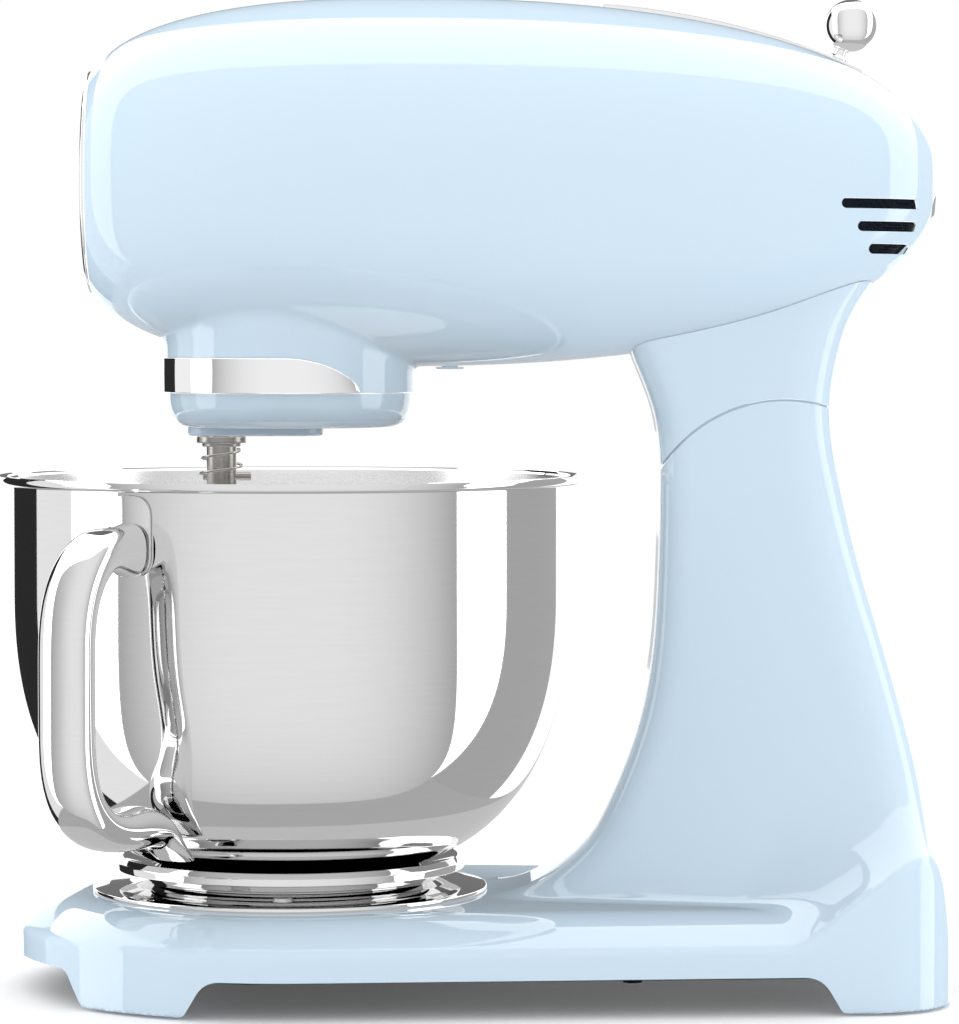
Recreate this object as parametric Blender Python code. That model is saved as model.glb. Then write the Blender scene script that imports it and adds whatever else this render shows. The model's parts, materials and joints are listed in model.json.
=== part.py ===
"""Tilt-head stand mixer at real size: +Z up, bowl end at -X, origin on the ground under its box's centre.

Every number below is in millimetres or degrees. The helpers scale each mesh to metres as they make it.
Each moving body has an empty on its joint's axis, and its pieces are parented to that empty."""

import math

import bmesh
import bpy
from mathutils import Vector

MM = 0.001
GAP = 0.3  # clearance between pieces that touch
WALL = 3.2  # thickness of the die-cast shells

# Main places
MID_Y = 12.5  # the mixer's plane of symmetry; the bowl's handle makes the whole box uneven
BOWL_X = -68.6  # vertical axis of the bowl and of the planetary hub
HEAD_Z = 306.0  # axis of the torpedo-shaped head

# Base casting, seen from above as the hull of one large and two small circles
BASE_FRONT_R = 104.0
BASE_REAR_X = 179.0
BASE_CORNER_R = 32.0
BASE_CORNER_Y = 55.5
BASE_EDGE_Z = 25.0  # top of the upright side wall
BASE_TOP_Z = 36.0
BASE_CROWN = 29.0  # width of the rounded shoulder between side wall and flat top
ARCH_Z = 14.5  # underside of the wall between the feet
LEG_Z = 1.0  # lower edge of the four legs
FOOT_R = 11.0
GLAND_Z = 20.4
FRONT_FOOT = (-116.5, 73.8)  # x and distance from the symmetry plane
REAR_FOOT = (151.0, 62.0)
COVER_SCREWS = ((-150, 0), (60, -80), (60, 80))

# Column and neck: height, front x, rear x, half width, widening towards the rear
COLUMN = (
    (18, 12, 178.2, 72, 0.32),
    (32, 13, 177.8, 71, 0.42),
    (40, 24, 176.8, 64, 0.50),
    (55, 43, 174.3, 55, 0.46),
    (70, 52.5, 171.6, 48.5, 0.41),
    (101, 64.5, 164.8, 39.5, 0.32),
    (131, 70, 156.9, 34, 0.24),
    (162, 71.8, 148.2, 30, 0.16),
    (192, 72.4, 141.3, 27.5, 0.11),
    (222, 69, 137.8, 26, 0.08),
    (240, 62, 140.6, 26, 0.05),
    (254, 58, 145.2, 26, 0.02),
    (272, 56, 157, 26, 0.0),
)
NECK_Z = 192.0  # the neck's sections start here
TILT_X = 118.8
TILT_Z = 169.0
SEAM_R = 54.5  # the column's domed top turns under the neck about the tilt axis
SEAM_GAP = 0.7

# Head: half height = HEAD_R * (1 - s ** p) ** (1 / q), with s from the widest place to each tip
HEAD_R = 70.0
HEAD_WIDTH = 1.03  # width over height at the widest place
HEAD_MID_X = -26.0
HEAD_FRONT = (-151.0, 2.3, 4.0)  # tip x, p, q
HEAD_REAR = (178.5, 2.2, 2.4)
FRONT_OPENING_X = -143.0
FRONT_OPENING_R = 38.6
REAR_OPENING_X = 175.0
REAR_OPENING_R = 14.6
COLLAR_R = 47.5
COLLAR_Z = 226.3
BAND_R = 48.9
BAND_TOP_Z = 239.0
BAND_END = 55.0  # the band stops this many degrees from the rear, on each side
BAND_FULL = 90.0  # and reaches its full height here
VENTS = ((139.0, 297.0), (145.5, 288.6), (150.0, 280.3))  # front x and height of each slot
VENT_END_X = 169.0
VENT_H = 3.8
PLUG_X = -7.3  # plug in the head's underside

# Speed lever on its curved rail
RAIL_X, RAIL_Z, RAIL_R = 31.2, 85.4, 287.7  # centre and radius of the rail's arc
RAIL_START, RAIL_END = 3.9, 24.3  # degrees from vertical
RAIL_W = 11.0
LEVER_ANGLE = 22.2
KNOB_R = 9.9
KNOB_ARC_R = 302.6

# Bowl
BOWL_RIM_Z = 195.6
BOWL_RIM_R = 111.2
BOWL_R = 107.0
BOWL_WALL = 1.2
BOWL_CURVE_Z = 150.0  # the side is straight above this height
BOWL_CURVE_H = 108.0
BOWL_BOTTOM_Z = 46.8
HANDLE_TURN = 30.0  # degrees from -Y towards -X
FLANGE_R = 75.4

# Gears
GEAR_M = 3.25
PINION_TEETH = 8
CROWN_TEETH = 24
RING_TEETH = 24
PLANET_TEETH = 8
CROWN_R = GEAR_M * CROWN_TEETH / 2
CROWN_PITCH_Z = HEAD_Z - GEAR_M * PINION_TEETH / 2
CROWN_ROOT_Z = CROWN_PITCH_Z - 1.15 * GEAR_M
CROWN_DISC = (CROWN_ROOT_Z - 5, CROWN_ROOT_Z - 1.2)  # bottom and top of the gear's disc
BEATER_OFFSET = GEAR_M * (RING_TEETH - PLANET_TEETH) / 2
PRESSURE = math.radians(20)
GEAR_FACE = 5.0
RING_Z = (215.6, 226.9)
PLANET_Z = (216.2, 223.4)
SHAFT_Z = (182.0, 225.6)
BOSS_Z = 209.6  # underside of the hub's oval boss

# Release button, sunk in the column's rear, and the latch
BUTTON_Z = 148.0
BUTTON_FLOOR = 145.6  # x of the floor of the button's pocket
PAWL_X, PAWL_Z = 138.5, 159.0
PAWL = (  # outline about its pin: x and height
    (-2.6, 11.5), (0.6, 12.5), (2.4, 4), (3.6, -1), (3, -9), (3, -13), (-0.5, -13), (-2.8, -4), (-3.4, 3)
)

BEATER_X = BOWL_X - BEATER_OFFSET
PIVOTS = {
    "stand": (0, 0, 0),
    "head": (TILT_X, MID_Y, TILT_Z),
    "seat": (BOWL_X, MID_Y, 0),
    "bowl": (BOWL_X, MID_Y, 0),
    "hub": (BOWL_X, MID_Y, 0),
    "planet": (BEATER_X, MID_Y, 0),
    "motor": (0, MID_Y, HEAD_Z),
    "outlet": (BOWL_X, MID_Y, HEAD_Z),
    "lever": (RAIL_X, MID_Y, RAIL_Z),
    "cap": (FRONT_OPENING_X, MID_Y, HEAD_Z),
    "button": (BUTTON_FLOOR, MID_Y, BUTTON_Z),
    "pawl": (PAWL_X, MID_Y, PAWL_Z),
}
FINISHES = {  # colour, roughness, metallic
    "enamel": ((0.60, 0.75, 0.87), 0.12, 0.0),
    "chrome": ((0.86, 0.87, 0.88), 0.06, 1.0),
    "steel": ((0.80, 0.80, 0.80), 0.12, 1.0),
    "machined": ((0.62, 0.62, 0.63), 0.35, 1.0),
    "cast": ((0.55, 0.56, 0.58), 0.5, 1.0),
    "winding": ((0.45, 0.30, 0.20), 0.5, 1.0),
    "rubber": ((0.05, 0.05, 0.05), 0.8, 0.0),
    "black": ((0.03, 0.035, 0.045), 0.5, 0.0),
    "nylon": ((0.85, 0.84, 0.80), 0.5, 0.0),
    "board": ((0.05, 0.25, 0.12), 0.5, 0.0),
}


# ---------------------------------------------------------------- helpers


def clear_scene():
    for obj in list(bpy.data.objects):
        bpy.data.objects.remove(obj, do_unlink=True)


def body_empty(body):
    """The empty on the body's joint axis, made the first time it is asked for."""
    name = "axis_" + body
    empty = bpy.data.objects.get(name)
    if empty is None:
        empty = bpy.data.objects.new(name, None)
        empty.location = Vector(PIVOTS[body]) * MM
        bpy.context.scene.collection.objects.link(empty)
    return empty


def finish_material(name, finish):
    colour, roughness, metallic = FINISHES[finish]
    material = bpy.data.materials.new(name)
    material.use_nodes = True
    shader = material.node_tree.nodes["Principled BSDF"]
    shader.inputs["Base Color"].default_value = (*colour, 1)
    shader.inputs["Roughness"].default_value = roughness
    shader.inputs["Metallic"].default_value = metallic
    material.diffuse_color = (*colour, 1)
    return material


def add(name, bm, body, finish):
    """Turns a bmesh in world millimetres into an object on its body. No finish means a cutter."""
    bmesh.ops.remove_doubles(bm, verts=bm.verts[:], dist=1e-4)
    bmesh.ops.recalc_face_normals(bm, faces=bm.faces[:])
    pivot = Vector(PIVOTS[body])
    for vertex in bm.verts:
        vertex.co = (vertex.co - pivot) * MM
    mesh = bpy.data.meshes.new(name)
    bm.to_mesh(mesh)
    bm.free()
    mesh.shade_smooth()
    mesh.set_sharp_from_angle(angle=math.radians(35))
    obj = bpy.data.objects.new(name, mesh)
    obj.parent = body_empty(body)
    bpy.context.scene.collection.objects.link(obj)
    if finish:
        mesh.materials.append(finish_material(name, finish))
    else:
        obj.hide_render = True
        obj.display_type = "WIRE"
    return obj


def boolean(obj, *tools, operation="DIFFERENCE"):
    """Cuts, joins or keeps what the tools share, and leaves the tools as hidden helpers."""
    for tool in tools:
        modifier = obj.modifiers.new(tool.name, "BOOLEAN")
        modifier.operation = operation
        modifier.solver = "EXACT"
        modifier.object = tool
        tool.hide_render = True
        tool.display_type = "WIRE"
    return obj


def together(name, *tools):
    """One cutter from several closed shapes that don't touch each other."""
    bm = bmesh.new()
    for tool in tools:
        bm.from_mesh(tool.data)
    mesh = bpy.data.meshes.new(name)
    bm.to_mesh(mesh)
    bm.free()
    obj = bpy.data.objects.new(name, mesh)
    obj.parent = tools[0].parent
    bpy.context.scene.collection.objects.link(obj)
    for tool in tools:
        bpy.data.objects.remove(tool, do_unlink=True)
    return obj


def skin(name, rings, body, finish, closed=False):
    """Joins rings of points, each with the same count. The ends are capped unless closed joins them."""
    bm = bmesh.new()
    loops = [[bm.verts.new(point) for point in ring] for ring in rings]
    count = len(loops[0])
    pairs = list(zip(loops, loops[1:]))
    if closed:
        pairs.append((loops[-1], loops[0]))
    else:
        bm.faces.new(loops[0][::-1])
        bm.faces.new(loops[-1])
    for low, high in pairs:
        for i in range(count):
            j = (i + 1) % count
            bm.faces.new((low[i], low[j], high[j], high[i]))
    return add(name, bm, body, finish)


def along(axis, across, up, distance):
    """A point from two coordinates across an axis, in X, Y, Z order, and one along it."""
    if axis == "X":
        return (distance, across, up)
    if axis == "Y":
        return (across, distance, up)
    return (across, up, distance)


def lathe(name, profile, centre, body, finish, axis="Z", steps=40):
    """Turns a closed (radius, distance along the axis) profile about an axis through centre."""
    bm = bmesh.new()
    points = [bm.verts.new(along(axis, radius + centre[0], centre[1], run)) for radius, run in profile]
    for i, (radius, _) in enumerate(profile):
        if radius or profile[i - 1][0]:
            bm.edges.new((points[i - 1], points[i]))
    bmesh.ops.spin(
        bm,
        geom=bm.edges[:],
        cent=along(axis, centre[0], centre[1], 0),
        axis=along(axis, 0, 0, 1),
        angle=math.tau,
        steps=steps,
        use_merge=True,
    )
    bmesh.ops.remove_doubles(bm, verts=bm.verts[:], dist=1e-4)
    bmesh.ops.dissolve_degenerate(bm, dist=1e-5, edges=bm.edges[:])
    return add(name, bm, body, finish)


def rod(name, radius, low, high, centre, body, finish, axis="Z", steps=24):
    profile = [(0, low), (radius, low), (radius, high), (0, high)]
    return lathe(name, profile, centre, body, finish, axis, steps)


def tube(name, inner, outer, low, high, centre, body, finish, axis="Z", steps=32):
    profile = [(inner, low), (outer, low), (outer, high), (inner, high)]
    return lathe(name, profile, centre, body, finish, axis, steps)


def prism(name, outline, low, high, body, finish, axis="Z"):
    """Extrudes an outline that lies across an axis, from low to high along it."""
    bm = bmesh.new()
    face = bm.faces.new([bm.verts.new(along(axis, a, b, low)) for a, b in outline])
    grown = bmesh.ops.extrude_face_region(bm, geom=[face])
    raised = [item for item in grown["geom"] if isinstance(item, bmesh.types.BMVert)]
    bmesh.ops.translate(bm, verts=raised, vec=along(axis, 0, 0, high - low))
    return add(name, bm, body, finish)


def box(name, low, high, body, finish, axis="Z"):
    outline = [(low[0], low[1]), (high[0], low[1]), (high[0], high[1]), (low[0], high[1])]
    return prism(name, outline, low[2], high[2], body, finish, axis)


def arc(centre, radius, start, end, count):
    """Points on an arc, from start to end degrees, measured from the second axis towards the first."""
    turns = [math.radians(start + (end - start) * i / (count - 1)) for i in range(count)]
    return [(centre[0] + radius * math.sin(t), centre[1] + radius * math.cos(t)) for t in turns]


def signed_power(value, power):
    return math.copysign(abs(value) ** power, value)


def curve_value(points, at):
    """The value at a position on a smooth curve through (position, value) points."""
    last = len(points) - 2
    i = next((k for k in range(last + 1) if at <= points[k + 1][0]), last)
    (x0, y0), (x1, y1) = points[i], points[i + 1]
    before, after = points[max(i - 1, 0)], points[min(i + 2, last + 1)]
    step = x1 - x0
    slope0 = (y1 - before[1]) / (x1 - before[0]) * step
    slope1 = (after[1] - y0) / (after[0] - x0) * step
    t = (at - x0) / step
    smooth = t * t * (3 - 2 * t)
    return y0 + (y1 - y0) * smooth + t * (1 - t) * ((1 - t) * slope0 - t * slope1)


# ---------------------------------------------------------------- outer forms


def base_ring(z, inset=0.0, count=44):
    """The base's outline at a height: points on the hull of its three circles."""
    circles = (
        (BOWL_X, 0.0, BASE_FRONT_R),
        (BASE_REAR_X - BASE_CORNER_R, BASE_CORNER_Y, BASE_CORNER_R),
        (BASE_REAR_X - BASE_CORNER_R, -BASE_CORNER_Y, BASE_CORNER_R),
    )
    points = []
    for i in range(count):
        turn = math.tau * (i + 0.5) / count
        ox, oy = math.cos(turn), math.sin(turn)
        x, y, r = max(circles, key=lambda c: c[0] * ox + c[1] * oy + c[2])
        points.append((x + (r - inset) * ox, MID_Y + y + (r - inset) * oy, z))
    return points


def crown_z(inset):
    """Height of the base's rounded shoulder at a distance in from its outline."""
    return BASE_TOP_Z - (BASE_TOP_Z - BASE_EDGE_Z) * (1 - inset / BASE_CROWN) ** 2.2


def base_rings(bottom, inset=0.0, lower=0.0, count=44):
    """Rings from the bottom up over the shoulder; inset and lower give the inner form."""
    rings = [base_ring(bottom, inset, count), base_ring(BASE_EDGE_Z - 2 - lower, inset, count)]
    for distance in (0.8, 7, 16, BASE_CROWN):
        reach = inset + min(distance, BASE_CROWN - inset)
        rings.append(base_ring(crown_z(distance) - lower, reach, count))
    return rings


def column_ring(z, inset=0.0, count=24):
    front, rear, half, widening = (
        curve_value([(row[0], row[k]) for row in COLUMN], z) for k in range(1, 5)
    )
    middle, length = (front + rear) / 2, (rear - front) / 2
    points = []
    for i in range(count):
        turn = math.tau * (i + 0.5) / count
        u = signed_power(math.cos(turn), 2 / 3.0)
        v = signed_power(math.sin(turn), 2 / 2.3)
        y = v * (half * (1 + widening * u) - inset)
        points.append((middle + u * (length - inset), MID_Y + y, z))
    return points


def head_half(x, inset=0.0):
    """Half height of the head at x; inset gives the inner form."""
    tip, p, q = HEAD_FRONT if x < HEAD_MID_X else HEAD_REAR
    tip += math.copysign(inset, HEAD_MID_X - tip)
    s = min(abs(x - HEAD_MID_X) / abs(tip - HEAD_MID_X), 1)
    return (HEAD_R - inset) * (1 - s**p) ** (1 / q)


def head_ring(x, inset=0.0, count=26):
    half = head_half(x, inset)
    wide = half * (1 + (HEAD_WIDTH - 1) * (half / HEAD_R) ** 4)
    turns = [math.tau * (i + 0.5) / count for i in range(count)]
    return [(x, MID_Y + wide * math.sin(t), HEAD_Z + half * math.cos(t)) for t in turns]


def head_rings(front, rear, inset=0.0, count=14, around=26):
    """Rings that stand closer together towards the two ends."""
    middle, reach = (front + rear) / 2, (rear - front) / 2
    places = [middle - reach * math.cos(math.pi * i / (count - 1)) for i in range(count)]
    return [head_ring(x, inset, around) for x in places]


def above_dome(name, radius):
    """A cutter for everything above the tilt axis and outside a cylinder about it."""
    low = (TILT_X - 110, TILT_Z, MID_Y - 120)
    high = (TILT_X + 110, TILT_Z + 160, MID_Y + 120)
    block = box(name, low, high, "stand", None, "Y")
    core = rod(name + "_core", radius, MID_Y - 130, MID_Y + 130, (TILT_X, TILT_Z), "stand", None, "Y", 60)
    return boolean(block, core)


# ---------------------------------------------------------------- stand


def leg_places():
    """Name, x and y of the four feet; left is -Y."""
    for end, (x, y) in (("front", FRONT_FOOT), ("rear", REAR_FOOT)):
        for side, way in (("left", -1), ("right", 1)):
            yield f"{end}_{side}", x, MID_Y + way * y


def arch_cutters():
    """The long arches between the front and rear feet, and the short ones across each end."""
    side = [(-104.5, -5), (-103.6, LEG_Z), (-98.4, 10.4), (-96, 13.4), (-92, ARCH_Z)]
    side += [(125, ARCH_Z), (129, 13.4), (131.4, 10.4), (136.6, LEG_Z), (137.5, -5)]
    sides = prism("cut_side_arch", side, MID_Y - 150, MID_Y + 150, "stand", None, "Y")
    across = [(-74.4, -5), (-73.5, LEG_Z), (-69, 10.4), (-63, ARCH_Z)]
    across += [(63, ARCH_Z), (69, 10.4), (73.5, LEG_Z), (74.4, -5)]
    across = [(MID_Y + y, z) for y, z in across]
    front = prism("cut_front_arch", across, -200, -130, "stand", None, "X")
    narrow = [(MID_Y + (y - MID_Y) * 0.56, z) for y, z in across]
    rear = prism("cut_rear_arch", narrow, 160, 200, "stand", None, "X")
    return sides, front, rear


def base_cavity():
    """The hollow inside the base and column, with the bosses left standing in it."""
    cavity = skin("cavity", base_rings(-3, 4.5, 3.8, 28), "stand", None)
    heights = (26, 42, 60, 90, 130, 165, 195, 238)
    shaft = skin("cavity_column", [column_ring(z, WALL, 16) for z in heights], "stand", None)
    boolean(shaft, above_dome("cavity_dome", SEAM_R - WALL))
    boolean(cavity, shaft, operation="UNION")
    bosses = [rod("boss", 15, 4.3, 60, (x, y), "stand", None, steps=16) for _, x, y in leg_places()]
    bosses += [rod("boss", 5, 15.8, 60, (x, MID_Y + y), "stand", None, steps=12) for x, y in COVER_SCREWS]
    for way in (-1, 1):
        ends = sorted((MID_Y + way * 14.6, MID_Y + way * 60))
        bosses.append(rod("boss", 10, *ends, (TILT_X, TILT_Z), "stand", None, "Y", 20))
    bosses.append(rod("boss", 12.5, BUTTON_FLOOR - 2.7, 170, (MID_Y, BUTTON_Z), "stand", None, "X", 20))
    return boolean(cavity, together("bosses", *bosses))


def base_column():
    body = skin("base_column", base_rings(LEG_Z), "stand", "enamel")
    heights = (18, 32, 38, 45, 57, 75, 100, 135, 170, 205, 238)
    column = skin("column_form", [column_ring(z) for z in heights], "stand", None)
    boolean(column, above_dome("column_dome", SEAM_R - SEAM_GAP / 2))
    boolean(body, column, operation="UNION")
    boolean(body, base_cavity())
    boolean(body, *arch_cutters())
    slot = arc((TILT_X, TILT_Z), 30, -49, 18, 8) + arc((TILT_X, TILT_Z), 62, 18, -49, 8)
    boolean(body, prism("cut_arm_slot", slot, MID_Y - 14.2, MID_Y + 14.2, "stand", None, "Y"))
    floor = BUTTON_FLOOR
    pocket = [(0, floor - 6), (3, floor - 6), (3, floor), (9.8, floor), (9.8, 175), (0, 175)]
    holes = [
        rod("hole", 5.3, MID_Y - 23.9, MID_Y + 23.9, (TILT_X, TILT_Z), "stand", None, "Y", 20),
        lathe("hole", pocket, (MID_Y, BUTTON_Z), "stand", None, "X", 24),
        rod("hole", 5.5, 165, 190, (MID_Y + 30, GLAND_Z), "stand", None, "X", 16),
    ]
    holes += [rod("hole", 4.3, -5, 16, (x, y), "stand", None, steps=12) for _, x, y in leg_places()]
    holes += [rod("hole", 2.0, 5, 25, (x, MID_Y + y), "stand", None, steps=8) for x, y in COVER_SCREWS]
    holes += [rod("hole", 2.3, 25, 50, place, "stand", None, steps=8) for place in plate_screws()]
    boolean(body, together("cut_holes", *holes))


def base_cover():
    cover = skin("base_cover", [base_ring(13.2, 6, 28), base_ring(15.4, 6, 28)], "stand", "black")
    holes = [rod("hole", 16.5, 0, 30, (x, y), "stand", None, steps=16) for _, x, y in leg_places()]
    holes += [rod("hole", 2.4, 0, 30, (x, MID_Y + y), "stand", None, steps=8) for x, y in COVER_SCREWS]
    boolean(cover, together("cut_cover", *holes))
    for i, (x, y) in enumerate(COVER_SCREWS):
        profile = [(0, 11.6), (3.6, 11.6), (3.6, 12.9), (1.6, 12.9), (1.6, 24), (0, 24)]
        lathe(f"base_cover_screw_{i + 1}", profile, (x, MID_Y + y), "stand", "machined", steps=10)


def feet():
    for place, x, y in leg_places():
        profile = [(0, 0), (FOOT_R - 1, 0), (FOOT_R, 1), (FOOT_R, 4), (4, 4), (4, 14), (0, 14)]
        lathe("foot_" + place, profile, (x, y), "stand", "rubber", steps=16)


def plate_screws():
    """Centres of the three screws in the lock plate's flange."""
    turns = [math.radians(30 + 120 * i) for i in range(3)]
    return [(BOWL_X + 64 * math.cos(t), MID_Y + 64 * math.sin(t)) for t in turns]


def bowl_lock_plate():
    """Steel flange with a flared collar, whose inward ears hold the bowl's lugs."""
    low = BASE_TOP_Z + GAP
    profile = [(22, low), (FLANGE_R, low), (FLANGE_R, low + 1.6), (60, 39.2), (55.5, 41)]
    profile += [(54.4, 43.9), (50.6, 43.9), (50.6, 39), (22, 39)]
    plate = lathe("bowl_lock_plate", profile, (BOWL_X, MID_Y), "stand", "steel", steps=36)
    for i in range(3):
        turn = 120 * i + 90
        outline = arc((BOWL_X, MID_Y), 52, turn - 28, turn + 28, 6)
        outline += arc((BOWL_X, MID_Y), 47, turn + 28, turn - 28, 6)
        boolean(plate, prism(f"collar_ear_{i}", outline, 41.7, 43.7, "stand", None), operation="UNION")
    holes = [rod("hole", 2.6, 30, 50, centre, "stand", None, steps=10) for centre in plate_screws()]
    boolean(plate, together("cut_flange", *holes))
    for i, centre in enumerate(plate_screws()):
        profile = [(0, 27), (2.0, 27), (2.0, 39.2), (4.2, 39.2), (3.4, 40.4), (0, 40.4)]
        lathe(f"lock_plate_screw_{i + 1}", profile, centre, "stand", "machined", steps=10)


def hinge_and_latch():
    centre = (TILT_X, TILT_Z)
    rod("hinge_pin", 5.0, MID_Y - 23.6, MID_Y + 23.6, centre, "stand", "machined", "Y")
    outline = [(PAWL_X + x, PAWL_Z + z) for x, z in PAWL]
    pawl = prism("latch_pawl", outline, MID_Y - 4, MID_Y + 4, "pawl", "machined", "Y")
    trunnions = rod("pawl_trunnions", 2.0, MID_Y - 9, MID_Y + 9, (PAWL_X, PAWL_Z), "pawl", None, "Y", 16)
    boolean(pawl, trunnions, operation="UNION")


def release_button():
    """A sunk button whose stem ends just clear of the pawl, on a cone-shaped spring."""
    back = BUTTON_FLOOR + 2.8
    profile = [(0, BUTTON_FLOOR - 3.4), (2.5, BUTTON_FLOOR - 3.4), (2.5, back), (9.2, back)]
    profile += [(9.2, back + 1.1), (7.8, back + 2), (0, back + 2.5)]
    lathe("release_button", profile, (MID_Y, BUTTON_Z), "button", "chrome", "X", 20)
    turns, steps = 2.6, 26
    points = []
    for i in range(steps + 1):
        share = i / steps
        a = math.tau * turns * share
        r = 7.6 - 3.0 * share
        x = BUTTON_FLOOR + 0.4 + 2.0 * share
        points.append((x, MID_Y + r * math.cos(a), BUTTON_Z + r * math.sin(a)))
    wire("button_spring", points, 0.3, "stand", "machined")


def wire(name, points, radius, body, finish):
    """A round wire along points, made as a bevelled curve with filled ends."""
    curve = bpy.data.curves.new(name, "CURVE")
    curve.dimensions = "3D"
    curve.bevel_depth = radius * MM
    curve.bevel_resolution = 0
    curve.use_fill_caps = True
    spline = curve.splines.new("POLY")
    spline.points.add(len(points) - 1)
    pivot = Vector(PIVOTS[body])
    for target, point in zip(spline.points, points):
        target.co = (*((Vector(point) - pivot) * MM), 1)
    curve.materials.append(finish_material(name, finish))
    obj = bpy.data.objects.new(name, curve)
    obj.parent = body_empty(body)
    bpy.context.scene.collection.objects.link(obj)
    return obj


def cable_gland():
    face = BASE_REAR_X + GAP
    profile = [(3.6, 173.8), (5.2, 173.8), (5.2, face), (7, face), (6.3, face + 0.9), (3.6, face + 0.9)]
    lathe("cable_gland", profile, (MID_Y + 30, GLAND_Z), "stand", "rubber", "X", 16)


# ---------------------------------------------------------------- bowl


def bowl_radius(z):
    return BOWL_R * (1 - ((BOWL_CURVE_Z - z) / BOWL_CURVE_H) ** 2.3) ** (1 / 3)


def bowl():
    rim = BOWL_RIM_Z
    outer = [(0, BOWL_BOTTOM_Z)]
    for z in (BOWL_BOTTOM_Z, 50, 56, 67, 85, 112, BOWL_CURVE_Z):
        outer.append((bowl_radius(z), z))
    outer += [(BOWL_R, rim - 4.6), (BOWL_RIM_R - 1, rim - 3.8), (BOWL_RIM_R, rim - 2)]
    outer += [(BOWL_RIM_R - 1.2, rim), (BOWL_R, rim - 0.9)]
    inner = [(BOWL_R - BOWL_WALL, rim - 3.5)]
    for z in (BOWL_CURVE_Z, 104, 75, 56):
        inner.append((bowl_radius(z) - BOWL_WALL, z))
    inner += [(44, BOWL_BOTTOM_Z + BOWL_WALL + 1), (0, BOWL_BOTTOM_Z + BOWL_WALL + 1)]
    lathe("bowl", outer + inner, (BOWL_X, MID_Y), "bowl", "steel", steps=32)


def bowl_foot():
    """Foot ring under the bowl, with a skirt whose lugs turn under the collar's ears."""
    profile = [(41.5, 39.8), (44.6, 39.8), (44.6, 44.6), (67, 44.6), (67, 47.2), (65, 49.2)]
    profile += [(53, 46.5), (41.5, 46.5)]
    ring = lathe("bowl_foot_ring", profile, (BOWL_X, MID_Y), "bowl", "steel", steps=36)
    for i in range(3):
        turn = 120 * i + 30
        outline = arc((BOWL_X, MID_Y), 49.8, turn - 20, turn + 20, 5)
        outline += arc((BOWL_X, MID_Y), 43, turn + 20, turn - 20, 5)
        boolean(ring, prism(f"foot_lug_{i}", outline, 39.8, 41.2, "bowl", None), operation="UNION")
    tube("bowl_seat_ring", 32, 40.5, 39.3, 46.2, (BOWL_X, MID_Y), "seat", "nylon", steps=28)


HANDLE = (  # distance from the bowl's axis, height, width, thickness, tilt of the section
    (108.2, 170.6, 18.0, 19.5, 90),
    (110.0, 170.6, 18.0, 19.5, 90),
    (113.0, 170.8, 18.4, 19.0, 90),
    (119.0, 171.2, 19.2, 17.6, 86),
    (129.0, 170.0, 20.4, 15.6, 71),
    (139.5, 162.0, 21.0, 14.8, 42),
    (145.6, 148.5, 21.0, 15.0, 14),
    (147.0, 132.0, 21.0, 15.0, 0),
    (147.0, 110.0, 21.0, 15.0, 0),
    (146.0, 94.0, 21.0, 15.0, -14),
    (140.5, 80.5, 21.0, 15.0, -42),
    (129.5, 72.0, 20.6, 15.2, -68),
    (115.0, 69.4, 20.4, 15.4, -84),
    (102.0, 69.4, 20.4, 15.4, -90),
    (94.0, 67.6, 20.0, 12.0, -84),
    (87.0, 62.0, 19.0, 6.0, -60),
    (79.0, 55.6, 17.0, 2.8, -52),
)


def bowl_handle():
    """A rounded bar that leaves a plate under the rim and ends in a tab under the bowl's curve."""
    turn = math.radians(HANDLE_TURN)
    out = Vector((-math.sin(turn), -math.cos(turn), 0))
    side = Vector((math.cos(turn), -math.sin(turn), 0))
    centre = Vector((BOWL_X, MID_Y, 0))
    rings = []
    for distance, z, width, thickness, tilt in HANDLE:
        t = math.radians(tilt)
        normal = out * math.cos(t) + Vector((0, 0, math.sin(t)))
        middle = centre + out * distance + Vector((0, 0, z))
        ring = []
        for i in range(14):
            a = math.tau * (i + 0.5) / 14
            u, v = signed_power(math.cos(a), 0.75), signed_power(math.sin(a), 0.75)
            ring.append(middle + side * (u * width / 2) + normal * (v * thickness / 2))
        rings.append(ring)
    skin("bowl_handle", rings, "bowl", "steel")


# ---------------------------------------------------------------- head casings


def vent_slots():
    """Three slots in each side of the head, with round front ends and slanted rear ends."""
    slots = []
    for way in (-1, 1):
        ends = sorted((MID_Y + way * 8, MID_Y + way * 90))
        for i, (x, z) in enumerate(VENTS):
            half = VENT_H / 2
            outline = arc((x + half, z), half, 180, 360, 7)
            outline += [(VENT_END_X - 1.2 * i + 1, z + half), (VENT_END_X - 1.2 * i - 1.5, z - half)]
            slots.append(prism("slot", outline, *ends, "head", None, "Y"))
    return slots


def rail_prism(name, low, high, start, end, half_width, finish=None):
    """A strip that follows the rail's arc, between two radii."""
    outline = arc((RAIL_X, RAIL_Z), low, start, end, 10) + arc((RAIL_X, RAIL_Z), high, end, start, 10)
    return prism(name, outline, MID_Y - half_width, MID_Y + half_width, "head", finish, "Y")


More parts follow.
